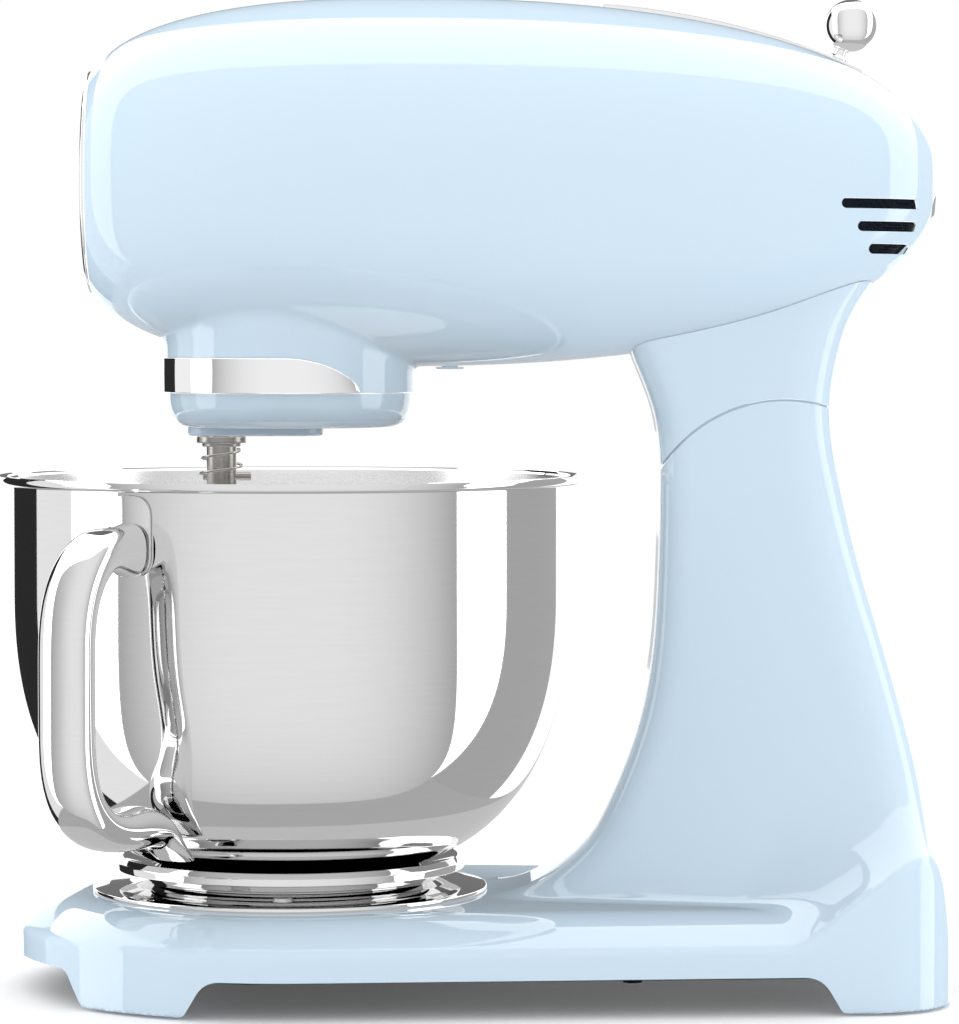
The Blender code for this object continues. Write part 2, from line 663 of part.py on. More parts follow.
def head_shell():
    shell = skin("head_shell", head_rings(FRONT_OPENING_X, REAR_OPENING_X), "head", "enamel")
    inner_rings = head_rings(FRONT_OPENING_X + 2, REAR_OPENING_X - 4, WALL, 9, 20)
    cavity = skin("head_cavity", inner_rings, "head", None)
    axis_at = (MID_Y, HEAD_Z)
    openings = together(
        "head_openings",
        rod("opening", FRONT_OPENING_R, -160, -136, axis_at, "head", None, "X", 32),
        rod("opening", REAR_OPENING_R, 160, 190, axis_at, "head", None, "X"),
        rod("opening", COLLAR_R - 1.4, 200, 264, (BOWL_X, MID_Y), "head", None, steps=32),
        box("opening", (70, MID_Y - 16, 220), (112, MID_Y + 16, 264), "head", None),
        rod("opening", 3.3, 220, 262, (PLUG_X, MID_Y), "head", None, steps=12),
        rail_prism("opening", RAIL_R - 12, RAIL_R + 12, 5.1, 23.5, 3.2),
    )
    boolean(cavity, openings, operation="UNION")
    boolean(shell, cavity)
    groove = rail_prism("groove", RAIL_R - 1.5, RAIL_R + 9, RAIL_START, RAIL_END, RAIL_W / 2 + GAP)
    boolean(shell, together("cut_details", groove, *vent_slots()))
    inner = COLLAR_R - WALL
    collar = [(inner, COLLAR_Z), (COLLAR_R, COLLAR_Z), (COLLAR_R, 240), (49.5, 244), (54, 250)]
    collar += [(54, 258), (inner, 258)]
    boolean(shell, lathe("collar_form", collar, (BOWL_X, MID_Y), "head", None, steps=32), operation="UNION")


def neck_shell():
    heights = (NECK_Z, 210, 226, 240, 252, 262, 272)
    neck = skin("neck_shell", [column_ring(z) for z in heights], "head", "enamel")
    inner_rings = [column_ring(z, WALL, 16) for z in (185, 215, 245, 262, 280)]
    boolean(neck, skin("neck_cavity", inner_rings, "head", None))
    dome_r = SEAM_R + SEAM_GAP / 2
    dome = rod("neck_dome", dome_r, MID_Y - 60, MID_Y + 60, (TILT_X, TILT_Z), "head", None, "Y", 60)
    boolean(neck, dome)
    over = []
    for ring in head_rings(20, REAR_OPENING_X):
        over.append([(x, MID_Y + (y - MID_Y) * 1.005, HEAD_Z + (z - HEAD_Z) * 1.006) for x, y, z in ring])
    boolean(neck, skin("head_over_neck", over, "head", None))


def tilt_arm():
    """Casting that carries the head: a hub on the hinge pin, a web through the dome's slot, a plate above."""
    centre = (TILT_X, TILT_Z)
    web = arc(centre, 8, -42, -28, 3)[::-1] + arc(centre, 62, -42, -38, 2)
    web += [(81, 258.5), (64, 258.5), (64, 262.5), (114, 262.5), (114, 258.5), (104, 258.5)]
    web += [arc(centre, 66, -28, -27, 2)[0]]
    ends = (MID_Y - 13, MID_Y + 13)
    arm = prism("tilt_arm", web, *ends, "head", "cast", "Y")
    hub = rod("arm_hub", 14, *ends, centre, "head", None, "Y", 24)
    guard = arc(centre, 35, -88, -30, 9) + arc(centre, 38, -30, -88, 9)
    boolean(arm, hub, prism("arm_guard", guard, *ends, "head", None, "Y"), operation="UNION")
    boolean(arm, rod("cut_arm_bore", 5.3, MID_Y - 30, MID_Y + 30, centre, "head", None, "Y"))


def collar_band():
    """Polished band round the collar's front; its upper edge sweeps down to nothing at both ends."""
    rings = []
    for i in range(29):
        turn = BAND_END + (360 - 2 * BAND_END) * i / 28
        rise = min((min(turn, 360 - turn) - BAND_END) / (BAND_FULL - BAND_END), 1)
        top = COLLAR_Z + 0.8 + (BAND_TOP_Z - COLLAR_Z - 0.8) * math.sin(rise * math.pi / 2) ** 0.62
        t = math.radians(turn)
        corners = ((COLLAR_R + GAP, COLLAR_Z), (BAND_R, COLLAR_Z), (BAND_R, top), (COLLAR_R + GAP, top))
        rings.append([(BOWL_X + r * math.cos(t), MID_Y + r * math.sin(t), z) for r, z in corners])
    skin("collar_band", rings, "head", "chrome")


def head_trim():
    nose = FRONT_OPENING_X - GAP
    axis_at = (MID_Y, HEAD_Z)
    ring = [(38.2, nose), (41.6, nose), (41.6, nose - 2), (40.2, nose - 4.5), (38.2, nose - 4.2)]
    lathe("front_ring", ring, axis_at, "head", "chrome", "X", 32)
    cap = [(0, nose - 1.4), (37.8, nose - 1.4), (37.8, nose - 3.4), (30, nose - 4.8)]
    cap += [(15, nose - 5.6), (0, nose - 5.8)]
    lathe("front_cap", cap, axis_at, "cap", "enamel", "X", 32)
    hub = [(12.5, -118), (16.5, -118), (16.5, -139.6), (37.5, -139.6), (37.5, -141.8), (12.5, -141.8)]
    lathe("accessory_hub", hub, axis_at, "head", "cast", "X", 24)
    tail = REAR_OPENING_X + GAP
    tube("rear_ring", 14.6, 17.2, tail, tail + 1.9, axis_at, "head", "chrome", "X", 24)
    cap = [(0, tail - 3), (14.2, tail - 3), (14.2, tail + 1.4), (8, tail + 2.7), (0, tail + 3.1)]
    lathe("rear_cap", cap, axis_at, "head", "enamel", "X", 24)
    low = HEAD_Z - HEAD_R
    plug = [(0, low + 4), (3, low + 4), (3, low - 0.3), (5.4, low - 0.3), (5.2, low - 1.0), (0, low - 1.1)]
    lathe("underside_plug", plug, (PLUG_X, MID_Y), "head", "nylon", steps=16)
    ends = (RAIL_START + 0.06, RAIL_END - 0.06)
    rail = rail_prism("speed_rail", RAIL_R - 1.2, RAIL_R + 0.9, *ends, RAIL_W / 2, "chrome")
    boolean(rail, rail_prism("cut_rail_slot", RAIL_R - 5, RAIL_R + 5, 5.4, 23.2, 2.8))


def vent_liners():
    """Thin black plates close behind the vents, which follow the inside of the shell."""
    for side, way in (("left", -1), ("right", 1)):
        rings = []
        for i in range(5):
            x = 134 + 7.6 * i
            section = []
            for inset, turns in ((WALL + 4, range(7)), (WALL + 5.4, range(6, -1, -1))):
                half = head_half(x, inset)
                for k in turns:
                    t = math.radians(68 + 11 * k)
                    section.append((x, MID_Y + way * half * math.sin(t), HEAD_Z + half * math.cos(t)))
            rings.append(section)
        skin(f"vent_liner_{side}", rings, "head", "black")


# ---------------------------------------------------------------- speed lever


def speed_lever():
    """Stem and carriage in one, and the ball on the stem; both turn about the rail's centre."""
    t = math.radians(LEVER_ANGLE)
    up = Vector((math.sin(t), 0, math.cos(t)))
    across = Vector((math.cos(t), 0, -math.sin(t)))
    centre = Vector((RAIL_X, MID_Y, RAIL_Z))

    def place(x, y, r):
        return centre + across * x + up * r + Vector((0, y, 0))

    def pin(radius, low, high):
        turns = [math.tau * i / 12 for i in range(12)]
        return [[place(radius * math.cos(a), radius * math.sin(a), r) for a in turns] for r in (low, high)]

    corners = ((-8, -7), (8, -7), (8, 7), (-8, 7))
    block = [[place(x, y, r) for x, y in corners] for r in (RAIL_R - 13.5, RAIL_R - 9.6)]
    carriage = skin("slider_carriage", block, "lever", "nylon")
    boolean(carriage, skin("cut_stem_hole", pin(2.5, RAIL_R - 12.3, RAIL_R), "lever", None))
    knob_low = KNOB_ARC_R - KNOB_R
    skin("lever_stem", pin(2.2, RAIL_R - 12, knob_low + 2.4), "lever", "chrome")
    bm = bmesh.new()
    bmesh.ops.create_uvsphere(bm, u_segments=16, v_segments=10, radius=KNOB_R)
    bmesh.ops.translate(bm, verts=bm.verts[:], vec=centre + up * KNOB_ARC_R)
    knob = add("lever_knob", bm, "lever", "chrome")
    boolean(knob, skin("cut_knob_hole", pin(2.5, knob_low - 2, knob_low + 2.8), "lever", None))


# ---------------------------------------------------------------- drive


def gear_outline(teeth, turn=0.0, addendum=0.8, dedendum=1.15, thin=0.35, flank_steps=2):
    """Involute teeth as (x, y) points about the origin; thin is taken from each tooth for backlash."""
    pitch = GEAR_M * teeth / 2
    base = pitch * math.cos(PRESSURE)
    root, tip = pitch - dedendum * GEAR_M, pitch + addendum * GEAR_M
    half = math.pi / (2 * teeth) - thin / (2 * pitch) + math.tan(PRESSURE) - PRESSURE

    def flank(radius):
        angle = math.acos(min(base / radius, 1))
        return radius, half - (math.tan(angle) - angle)

    start = max(base, root)
    rise = [flank(start + (tip - start) * i / (flank_steps - 1)) for i in range(flank_steps)]
    if root < base:
        rise.insert(0, (root, half))
    points = []
    for tooth in range(teeth):
        middle = math.tau * (tooth + turn) / teeth
        points += [(r, middle - a) for r, a in rise] + [(r, middle + a) for r, a in rise[::-1]]
    return points


def gear(name, teeth, bore, low, high, centre, body, axis="Z", turn=0.0):
    """Spur gear with a round bore, made as a closed skin of two tooth rings and two bore rings."""
    teeth_points = gear_outline(teeth, turn)
    rings = []
    for run, radius in ((low, None), (high, None), (high, bore), (low, bore)):
        ring = []
        for r, a in teeth_points:
            reach = r if radius is None else radius
            ring.append(along(axis, centre[0] + reach * math.cos(a), centre[1] + reach * math.sin(a), run))
        rings.append(ring)
    return skin(name, rings, body, "machined", closed=True)


def ring_gear():
    """Fixed internal gear: its teeth are the spaces of an outline with longer, thicker teeth."""
    spaces = gear_outline(RING_TEETH, 0.0, addendum=1.15, dedendum=0.8, thin=-0.35)
    rings = []
    for z, outer in ((RING_Z[0], False), (RING_Z[1], False), (RING_Z[1], True), (RING_Z[0], True)):
        ring = []
        for r, a in spaces:
            reach = 43.2 if outer else r
            ring.append((BOWL_X + reach * math.cos(a), MID_Y + reach * math.sin(a), z))
        rings.append(ring)
    skin("ring_gear", rings, "head", "machined", closed=True)


def crown_gear():
    """Face gear: its teeth point up and mesh with a pinion whose axis is level."""
    heights = (CROWN_ROOT_Z, CROWN_PITCH_Z + 0.8 * GEAR_M)
    halves = [math.pi * GEAR_M / 4 - 0.3 - (z - CROWN_PITCH_Z) * math.tan(PRESSURE) for z in heights]
    teeth = []
    for tooth in range(CROWN_TEETH):
        middle = math.tau * (tooth + 0.5) / CROWN_TEETH
        root, tip = halves[0] / CROWN_R, halves[1] / CROWN_R
        teeth += [(middle - root, heights[0]), (middle - tip, heights[1])]
        teeth += [(middle + tip, heights[1]), (middle + root, heights[0])]
    inner, outer = CROWN_R - GEAR_FACE / 2, CROWN_R + GEAR_FACE / 2
    low, top = CROWN_DISC
    sections = ((7.3, top), (inner, top), (inner, None), (outer, None), (outer, low), (7.3, low))
    rings = []
    for radius, level in sections:
        ring = []
        for a, z in teeth:
            height = z if level is None else level
            ring.append((BOWL_X + radius * math.cos(a), MID_Y + radius * math.sin(a), height))
        rings.append(ring)
    skin("crown_gear", rings, "hub", "machined", closed=True)


def hub_group():
    centre = (BOWL_X, MID_Y)
    profile = [(7.3, 212.4), (37.5, 212.4), (41.6, 213.4), (44.2, 215.8), (45.9, 219.6), (46.5, 225.8)]
    profile += [(43.6, 225.8), (43.6, 215.4), (42.8, 214.6), (10.4, 214.6), (10.4, 224), (7.3, 224)]
    dish = lathe("hub_dish", profile, centre, "hub", "enamel", steps=32)
    boss = arc((BEATER_X, MID_Y), 13, -180, 0, 9) + arc(centre, 13, 0, 180, 9)
    boolean(dish, prism("hub_boss", boss, BOSS_Z, 212.7, "hub", None), operation="UNION")
    boolean(dish, rod("cut_beater_bore", 6.1, 200, 215.5, (BEATER_X, MID_Y), "hub", None))
    shoulder = CROWN_DISC[0] - GAP
    spindle = [(0, 212.9), (7, 212.9), (7, 278), (10, 278), (10, shoulder), (7, shoulder)]
    spindle += [(7, 299), (0, 299)]
    lathe("spindle", spindle, centre, "hub", "machined", steps=20)


def planet_group():
    centre = (BEATER_X, MID_Y)
    gear("planet_pinion", PLANET_TEETH, 6.0, *PLANET_Z, centre, "planet", turn=0.0)
    shaft = rod("beater_shaft", 5.7, *SHAFT_Z, centre, "planet", "steel")
    hole = rod("cut_cross_pin", 1.9, BEATER_X - 20, BEATER_X + 20, (MID_Y, 194), "planet", None, "X", 12)
    boolean(shaft, hole)
    rod("cross_pin", 1.6, BEATER_X - 7, BEATER_X + 11.3, (MID_Y, 194), "planet", "steel", "X", 12)
    washer = [(6.0, 205.4), (7.4, 205.4), (7.4, 206.8), (9.5, 206.8), (9.5, 209.2), (6.0, 209.2)]
    lathe("beater_washer", washer, centre, "planet", "steel", steps=18)
    turns, steps = 1.75, 20
    points = []
    for i in range(steps + 1):
        share = i / steps
        a = math.tau * (1 / 12 - turns * share)
        r = 6.9 + 1.3 * share
        points.append((BEATER_X + r * math.cos(a), MID_Y + r * math.sin(a), 204.4 - 10.3 * share))
    wire("beater_spring", points, 0.5, "planet", "steel")


def gearbox():
    centre = (BOWL_X, MID_Y)
    outer = COLLAR_R - WALL - 0.6
    profile = [(13.4, 227.2), (outer, 227.2), (outer, 231.4), (22, 231.4), (17.4, 236)]
    profile += [(17.4, 274), (13.4, 274)]
    lathe("gearbox_housing", profile, centre, "head", "cast", steps=28)
    tube("spindle_bearing", 7.3, 13.1, 230, 271, centre, "head", "machined", steps=24)
    ring_gear()


def motor_group():
    axis_at = (MID_Y, HEAD_Z)
    housing = [(8.8, -14), (38, -14), (38, 72), (34, 72), (34, -10), (8.8, -10)]
    lathe("motor_housing", housing, axis_at, "head", "cast", "X", 24)
    tube("motor_stator", 26.2, 33.6, 2, 58, axis_at, "head", "winding", "X", 20)
    tube("motor_bearing_front", 4.3, 8.5, -13.6, -7, axis_at, "head", "machined", "X", 20)
    tube("motor_end_plate", 4.3, 33.6, 67, 71.6, axis_at, "head", "cast", "X", 24)
    rotor = [(0, -36), (4, -36), (4, 5), (25.4, 5), (25.4, 55), (4, 55), (4, 92), (0, 92)]
    lathe("motor_rotor", rotor, axis_at, "motor", "winding", "X", 20)
    middle = BOWL_X + CROWN_R
    face = (middle - GEAR_FACE / 2, middle + GEAR_FACE / 2)
    gear("motor_pinion", PINION_TEETH, 4.3, *face, axis_at, "motor", "X", turn=PINION_TEETH * -0.25)
    fan()
    box("motor_cradle", (-20, MID_Y - 20, 263), (118, MID_Y + 20, 266.6), "head", "cast")
    box("control_board", (-6, MID_Y - 15, 348), (58, MID_Y + 15, 349.6), "head", "board")


def fan():
    axis_at = (MID_Y, HEAD_Z)
    hub = tube("cooling_fan", 4.3, 9, 78, 90, axis_at, "motor", "black", "X", 18)
    blades = 7
    for i in range(blades):
        a = math.tau * i / blades
        outward = Vector((0, math.cos(a), math.sin(a)))
        sideways = Vector((0.55, -0.83 * math.sin(a), 0.83 * math.cos(a)))
        middle = Vector((84, MID_Y, HEAD_Z))
        across = outward.cross(sideways)
        rings = []
        for r in (7, 28):
            corners = ((-5, -0.6), (5, -0.6), (5, 0.6), (-5, 0.6))
            rings.append([middle + outward * r + sideways * u + across * v for u, v in corners])
        boolean(hub, skin(f"fan_blade_{i}", rings, "motor", None), operation="UNION")


def outlet_group():
    axis_at = (MID_Y, HEAD_Z)
    middle = BOWL_X - CROWN_R
    face = (middle - GEAR_FACE / 2, middle + GEAR_FACE / 2)
    gear("outlet_pinion", PINION_TEETH, 4.3, *face, axis_at, "outlet", "X", turn=PINION_TEETH * -0.25)
    profile = [(0, middle + 3), (4, middle + 3), (4, -116), (11.9, -118.4), (11.9, -141), (0, -141)]
    shaft = lathe("outlet_shaft", profile, axis_at, "outlet", "steel", "X", 24)
    low, high = (MID_Y - 4.5, HEAD_Z - 4.5, -150), (MID_Y + 4.5, HEAD_Z + 4.5, -124)
    boolean(shaft, box("cut_socket", low, high, "outlet", None, "X"))


def main():
    clear_scene()
    base_column()
    base_cover()
    feet()
    bowl_lock_plate()
    hinge_and_latch()
    release_button()
    cable_gland()
    bowl()
    bowl_foot()
    bowl_handle()
    head_shell()
    neck_shell()
    tilt_arm()
    collar_band()
    head_trim()
    vent_liners()
    speed_lever()
    hub_group()
    crown_gear()
    planet_group()
    gearbox()
    motor_group()
    outlet_group()


main()
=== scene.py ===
"""Looks of the tilt-head stand mixer, built round its CAD frame.

Sizes are in millimetres and degrees, with y measured from the mixer's plane of symmetry, unless a name says
otherwise. add_mesh turns them into metres in the frame. Each outer casting is the zero surface of a field, a
function that is negative inside the material and roughly the distance to the surface near it."""

import json
import math

import bmesh
import bpy
import numpy as np
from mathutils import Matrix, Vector

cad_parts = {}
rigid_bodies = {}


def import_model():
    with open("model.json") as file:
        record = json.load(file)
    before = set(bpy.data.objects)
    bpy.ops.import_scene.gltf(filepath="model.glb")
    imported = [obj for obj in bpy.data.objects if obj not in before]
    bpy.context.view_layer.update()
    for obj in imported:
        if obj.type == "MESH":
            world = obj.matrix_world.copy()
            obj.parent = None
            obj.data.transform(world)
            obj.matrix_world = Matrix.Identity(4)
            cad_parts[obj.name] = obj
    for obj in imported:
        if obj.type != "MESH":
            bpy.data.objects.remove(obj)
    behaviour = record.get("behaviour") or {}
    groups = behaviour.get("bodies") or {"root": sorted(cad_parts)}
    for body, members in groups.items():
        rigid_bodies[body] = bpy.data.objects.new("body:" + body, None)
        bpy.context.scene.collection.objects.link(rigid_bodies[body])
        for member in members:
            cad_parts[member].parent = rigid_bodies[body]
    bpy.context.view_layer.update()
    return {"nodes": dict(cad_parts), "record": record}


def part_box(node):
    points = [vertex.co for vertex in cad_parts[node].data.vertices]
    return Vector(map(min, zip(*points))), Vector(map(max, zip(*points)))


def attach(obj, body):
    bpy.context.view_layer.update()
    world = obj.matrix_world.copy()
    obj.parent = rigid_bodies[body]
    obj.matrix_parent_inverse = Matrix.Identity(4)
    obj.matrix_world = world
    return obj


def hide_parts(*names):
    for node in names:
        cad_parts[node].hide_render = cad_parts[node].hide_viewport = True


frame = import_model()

MM = 0.001


def middle_of(node, axis):
    """Middle of a CAD node along an axis."""
    low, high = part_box(node)
    return (low[axis] + high[axis]) / 2 / MM


# Main places, read from the frame
MID_Y = middle_of("front_cap", 1)
HEAD_Z = middle_of("front_cap", 2)
BOWL_X = middle_of("bowl_lock_plate", 0)
BEATER_X = middle_of("beater_shaft", 0)
TILT_X = middle_of("hinge_pin", 0)
TILT_Z = middle_of("hinge_pin", 2)
BUTTON_Z = middle_of("release_button", 2)
BUTTON_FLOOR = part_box("release_button")[0][0] / MM + 3.4
GLAND_Y = middle_of("cable_gland", 1) - MID_Y
GLAND_Z = middle_of("cable_gland", 2)

# Base
BASE_FRONT_R = 104.0
BASE_REAR_X = 179.0
BASE_CORNER_R = 32.0
BASE_CORNER_Y = 55.5
BASE_EDGE_Z = 25.0
BASE_TOP_Z = 36.0
BASE_CROWN = 29.0
CROWN_POWER = 2.2
ARCH_Z = 14.5
LEG_Z = 1.0
WALL = 3.2
FLARE_TOP_Z = 101.0  # the column's foot starts to spread below this height
FLARE_START_Z = 32.0
FLARE_WIDTH = 150.0
FLARE_POWER = 3.1

# Column and neck: height, front x, rear x, half width, widening towards the rear
COLUMN = (
    (18, 12, 178.2, 50, 0.34),
    (32, 13, 177.8, 49, 0.35),
    (40, 24, 176.8, 48.4, 0.35),
    (55, 43, 174.3, 47, 0.35),
    (70, 52.5, 171.6, 44.5, 0.34),
    (101, 64.5, 164.8, 39, 0.30),
    (131, 70, 156.9, 34, 0.24),
    (162, 71.8, 148.2, 30, 0.16),
    (192, 72.4, 141.3, 27.5, 0.11),
    (222, 69, 137.8, 26, 0.08),
    (240, 62, 140.6, 26, 0.05),
    (254, 58, 145.2, 26, 0.02),
    (272, 56, 157, 26, 0.0),
)
FRONT_EDGE = 12.0  # rounding of the column's front and rear edges
REAR_EDGE = 21.0
FOOT_FILLET = 8.0
SEAM_R = 54.5
SEAM_GAP = 0.9
NECK_LOW_Z = 188.0
NECK_TOP_Z = 272.0

# Head
HEAD_R = 70.0
HEAD_WIDTH = 1.03
HEAD_MID_X = -26.0
HEAD_FRONT = (-151.0, 2.3, 4.0)  # tip x and the two powers of its curve
HEAD_REAR = (178.5, 2.2, 2.4)
FRONT_OPENING_X = -143.0
FRONT_OPENING_R = 38.6
REAR_OPENING_X = 175.0
REAR_OPENING_R = 14.6
COLLAR_R = 47.5
COLLAR_Z = 226.3
COLLAR_FILLET = 3.0
BAND_R = 48.9
BAND_TOP_Z = 239.3
BAND_END = 55.0
BAND_FULL = 90.0
VENTS = (  # front x, height, and rear x at the slot's top and bottom
    (138.3, 297.0, 167.6, 168.6),
    (144.8, 288.6, 168.6, 167.4),
    (149.6, 280.3, 166.8, 164.6),
)
VENT_H = 3.8
PLUG_X = -7.3
RAIL_X, RAIL_Z, RAIL_R = 31.2, 85.4, 287.7
RAIL_START, RAIL_END = 3.9, 24.3
RAIL_W = 11.0
LEVER_ANGLE = 22.2
KNOB_R = 9.9
KNOB_ARC_R = 302.6

# Bowl
BOWL_RIM_Z = 195.6
BOWL_RIM_R = 111.2
BOWL_R = 107.0
BOWL_WALL = 1.2
BOWL_CURVE_Z = 150.0
BOWL_CURVE_H = 108.0
BOWL_BOTTOM_Z = 46.8
HANDLE_TURN = 30.0
DISH_R = 46.5
DISH_Z = 213.0
DISH_TOP_Z = 226.0
DISH_FLOOR_Z = 214.6
FLANGE_R = 75.4

HANDLE = (  # distance from the bowl's axis, height, width, thickness, tilt of the section
    (110.0, 170.6, 18.0, 19.5, 90),
    (113.0, 170.8, 18.4, 19.0, 90),
    (119.0, 171.2, 19.2, 17.6, 86),
    (129.0, 170.0, 20.4, 15.6, 71),
    (139.5, 162.0, 21.0, 14.8, 42),
    (145.6, 148.5, 21.0, 15.0, 14),
    (147.0, 132.0, 21.0, 15.0, 0),
    (147.0, 110.0, 21.0, 15.0, 0),
    (146.0, 94.0, 21.0, 15.0, -14),
    (140.5, 80.5, 21.0, 15.0, -42),
    (129.5, 72.0, 20.6, 15.2, -68),
    (115.0, 69.4, 20.4, 15.4, -84),
    (102.0, 69.4, 20.4, 15.4, -90),
    (94.0, 67.6, 20.0, 12.0, -84),
    (87.0, 62.0, 19.0, 6.0, -60),
    (79.0, 55.6, 17.0, 2.8, -52),
)
MOUNT_LOW, MOUNT_HIGH, MOUNT_HALF = 160.5, 190.2, 9.0  # plate under the handle's upper end

# Studio
SOFT_LIGHT = 1.12  # on matt surfaces
BAND_LIGHT = 3.0  # of the arch that glossy surfaces see
FLOOR_GLOW = 0.05
FLOOR_HALF = 0.7  # metres
SIDE_PANELS = (  # where each panel starts round the mixer, and its tone
    (-180, 0.75),
    (-150.9, 0.015),
    (-122.9, 0.52),
    (-80, 0.52),
    (80, 0.245),
    (142.5, 0.75),
)
CAMERA_PLACE = (4, -1680, 250.6)
CAMERA_DOWN = 2.396
LENS = 154.6

# Meshing
FINE = 1.6  # grid step of the outer skins
COARSE = 3.0  # grid step of the hidden inner skins
CLOSE = 2.4  # grid step of the cut where neck and head meet
THIN = 1.0  # grid step of the vent linings
SLOPE_STEP = 0.5  # distance over which the column's slopes are measured
ROUND_STEPS = 192


# ---------------------------------------------------------------- meshes


def add_mesh(name, points, faces):
    """An object from points in millimetres, with faces facing outwards."""
    points = np.asarray(points, float) + (0, MID_Y, 0)
    mesh = bpy.data.meshes.new(name)
    mesh.from_pydata(points * MM, [], faces)
    obj = bpy.data.objects.new(name, mesh)
    bpy.context.scene.collection.objects.link(obj)
    bm = bmesh.new()
    bm.from_mesh(mesh)
    bmesh.ops.recalc_face_normals(bm, faces=bm.faces[:])
    bm.to_mesh(mesh)
    bm.free()
    shade(obj)
    return obj


def shade(obj):
    """Smooth shading, with sharp edges where faces meet at more than 32 degrees."""
    obj.data.shade_smooth()
    obj.data.set_sharp_from_angle(angle=math.radians(32))


def settle(obj):
    """Applies the object's modifiers."""
    graph = bpy.context.evaluated_depsgraph_get()
    mesh = bpy.data.meshes.new_from_object(obj.evaluated_get(graph))
    obj.modifiers.clear()
    old = obj.data
    obj.data = mesh
    bpy.data.meshes.remove(old)
    return obj


def combine(obj, *tools, operation="DIFFERENCE"):
    """Cuts the tools from the object, or joins them to it, and removes them."""
    for tool in tools:
        modifier = obj.modifiers.new("combine", "BOOLEAN")
        modifier.operation = operation
        modifier.solver = "MANIFOLD"
        modifier.object = tool
    settle(obj)
    for tool in tools:
        bpy.data.objects.remove(tool, do_unlink=True)
    shade(obj)
    return obj


def soften(obj, width, segments=2, angle=40):
    """Rounds the sharp edges."""
    modifier = obj.modifiers.new("soften", "BEVEL")
    modifier.width = width * MM
    modifier.segments = segments
    modifier.limit_method = "ANGLE"
    modifier.angle_limit = math.radians(angle)
    settle(obj)
    shade(obj)
    return obj


def along(axis, across, up, distance):
    """A point from two coordinates across an axis, in X, Y, Z order, and one along it."""
    if axis == "X":
        return (distance, across, up)
    if axis == "Y":
        return (across, distance, up)
    return (across, up, distance)


def rounded(points, radius, closed=True, steps=6):
    """The outline with each corner rounded; a point may carry its own radius as a third value."""
    out = []
    count = len(points)
    for i, point in enumerate(points):
        here = Vector(point[:2])
        r = point[2] if len(point) > 2 else radius
        if r <= 0 or (not closed and i in (0, count - 1)):
            out.append(tuple(here))
            continue
        before = Vector(points[i - 1][:2]) - here
        after = Vector(points[(i + 1) % count][:2]) - here
        turn = math.pi - before.angle(after, math.pi)
        reach = min(r * math.tan(turn / 2), 0.45 * before.length, 0.45 * after.length)
        start = here + before.normalized() * reach
        end = here + after.normalized() * reach
        for k in range(steps + 1):
            t = k / steps
            out.append(tuple(start * (1 - t) ** 2 + here * 2 * t * (1 - t) + end * t**2))
    return out


def lathe(name, profile, centre=(0, 0), axis="Z", steps=ROUND_STEPS):
    """Turns a closed (radius, distance along the axis) profile about an axis through centre."""
    points = []
    rings = []
    for radius, run in profile:
        count = 1 if radius < 1e-6 else steps
        rings.append([len(points) + (i if count > 1 else 0) for i in range(steps)])
        for i in range(count):
            turn = math.tau * i / steps
            across = centre[0] + radius * math.cos(turn)
            up = centre[1] + radius * math.sin(turn)
            points.append(along(axis, across, up, run))
    faces = []
    for low, high in zip(rings, rings[1:] + rings[:1]):
        for i in range(steps):
            j = (i + 1) % steps
            corners = dict.fromkeys((low[i], low[j], high[j], high[i]))
            if len(corners) > 2:
                faces.append(tuple(corners))
    return add_mesh(name, points, faces)


def rod(name, radius, low, high, centre, axis="Z", steps=96):
    """A cylinder from low to high along an axis."""
    return lathe(name, [(0, low), (radius, low), (radius, high), (0, high)], centre, axis, steps)


def prism(name, outline, low, high, axis="Z"):
    """An outline pushed along an axis, from low to high."""
    count = len(outline)
    points = [along(axis, a, b, run) for run in (low, high) for a, b in outline]
    faces = [tuple(range(count)), tuple(range(count, 2 * count))]
    for i in range(count):
        j = (i + 1) % count
        faces.append((i, j, count + j, count + i))
    return add_mesh(name, points, faces)


def box(name, low, high):
    """A block between two corners."""
    outline = [(low[0], low[1]), (high[0], low[1]), (high[0], high[1]), (low[0], high[1])]
    return prism(name, outline, low[2], high[2])


def skin(name, rings, closed=False):
    """Joins rings of points, each with the same count. The ends are capped unless closed joins them."""
    count = len(rings[0])
    points = [point for ring in rings for point in ring]
    pairs = [(k, k + 1) for k in range(len(rings) - 1)]
    faces = []
    if closed:
        pairs.append((len(rings) - 1, 0))
    else:
        faces = [tuple(range(count)), tuple(range(len(points) - count, len(points)))]
    for low, high in pairs:
        for i in range(count):
            j = (i + 1) % count
            faces.append((low * count + i, low * count + j, high * count + j, high * count + i))
    return add_mesh(name, points, faces)


def wire(name, points, radius, steps=14):
    """A round wire along points, with flat ends."""
    points = [Vector(point) for point in points]
    side = Vector((0, 0, 1))
    rings = []
    for i, point in enumerate(points):
        ahead = (points[min(i + 1, len(points) - 1)] - points[max(i - 1, 0)]).normalized()
        side = (side - ahead * side.dot(ahead)).normalized()
        other = ahead.cross(side)
        turns = [math.tau * k / steps for k in range(steps)]
        rings.append([point + (side * math.cos(t) + other * math.sin(t)) * radius for t in turns])
    return skin(name, rings)


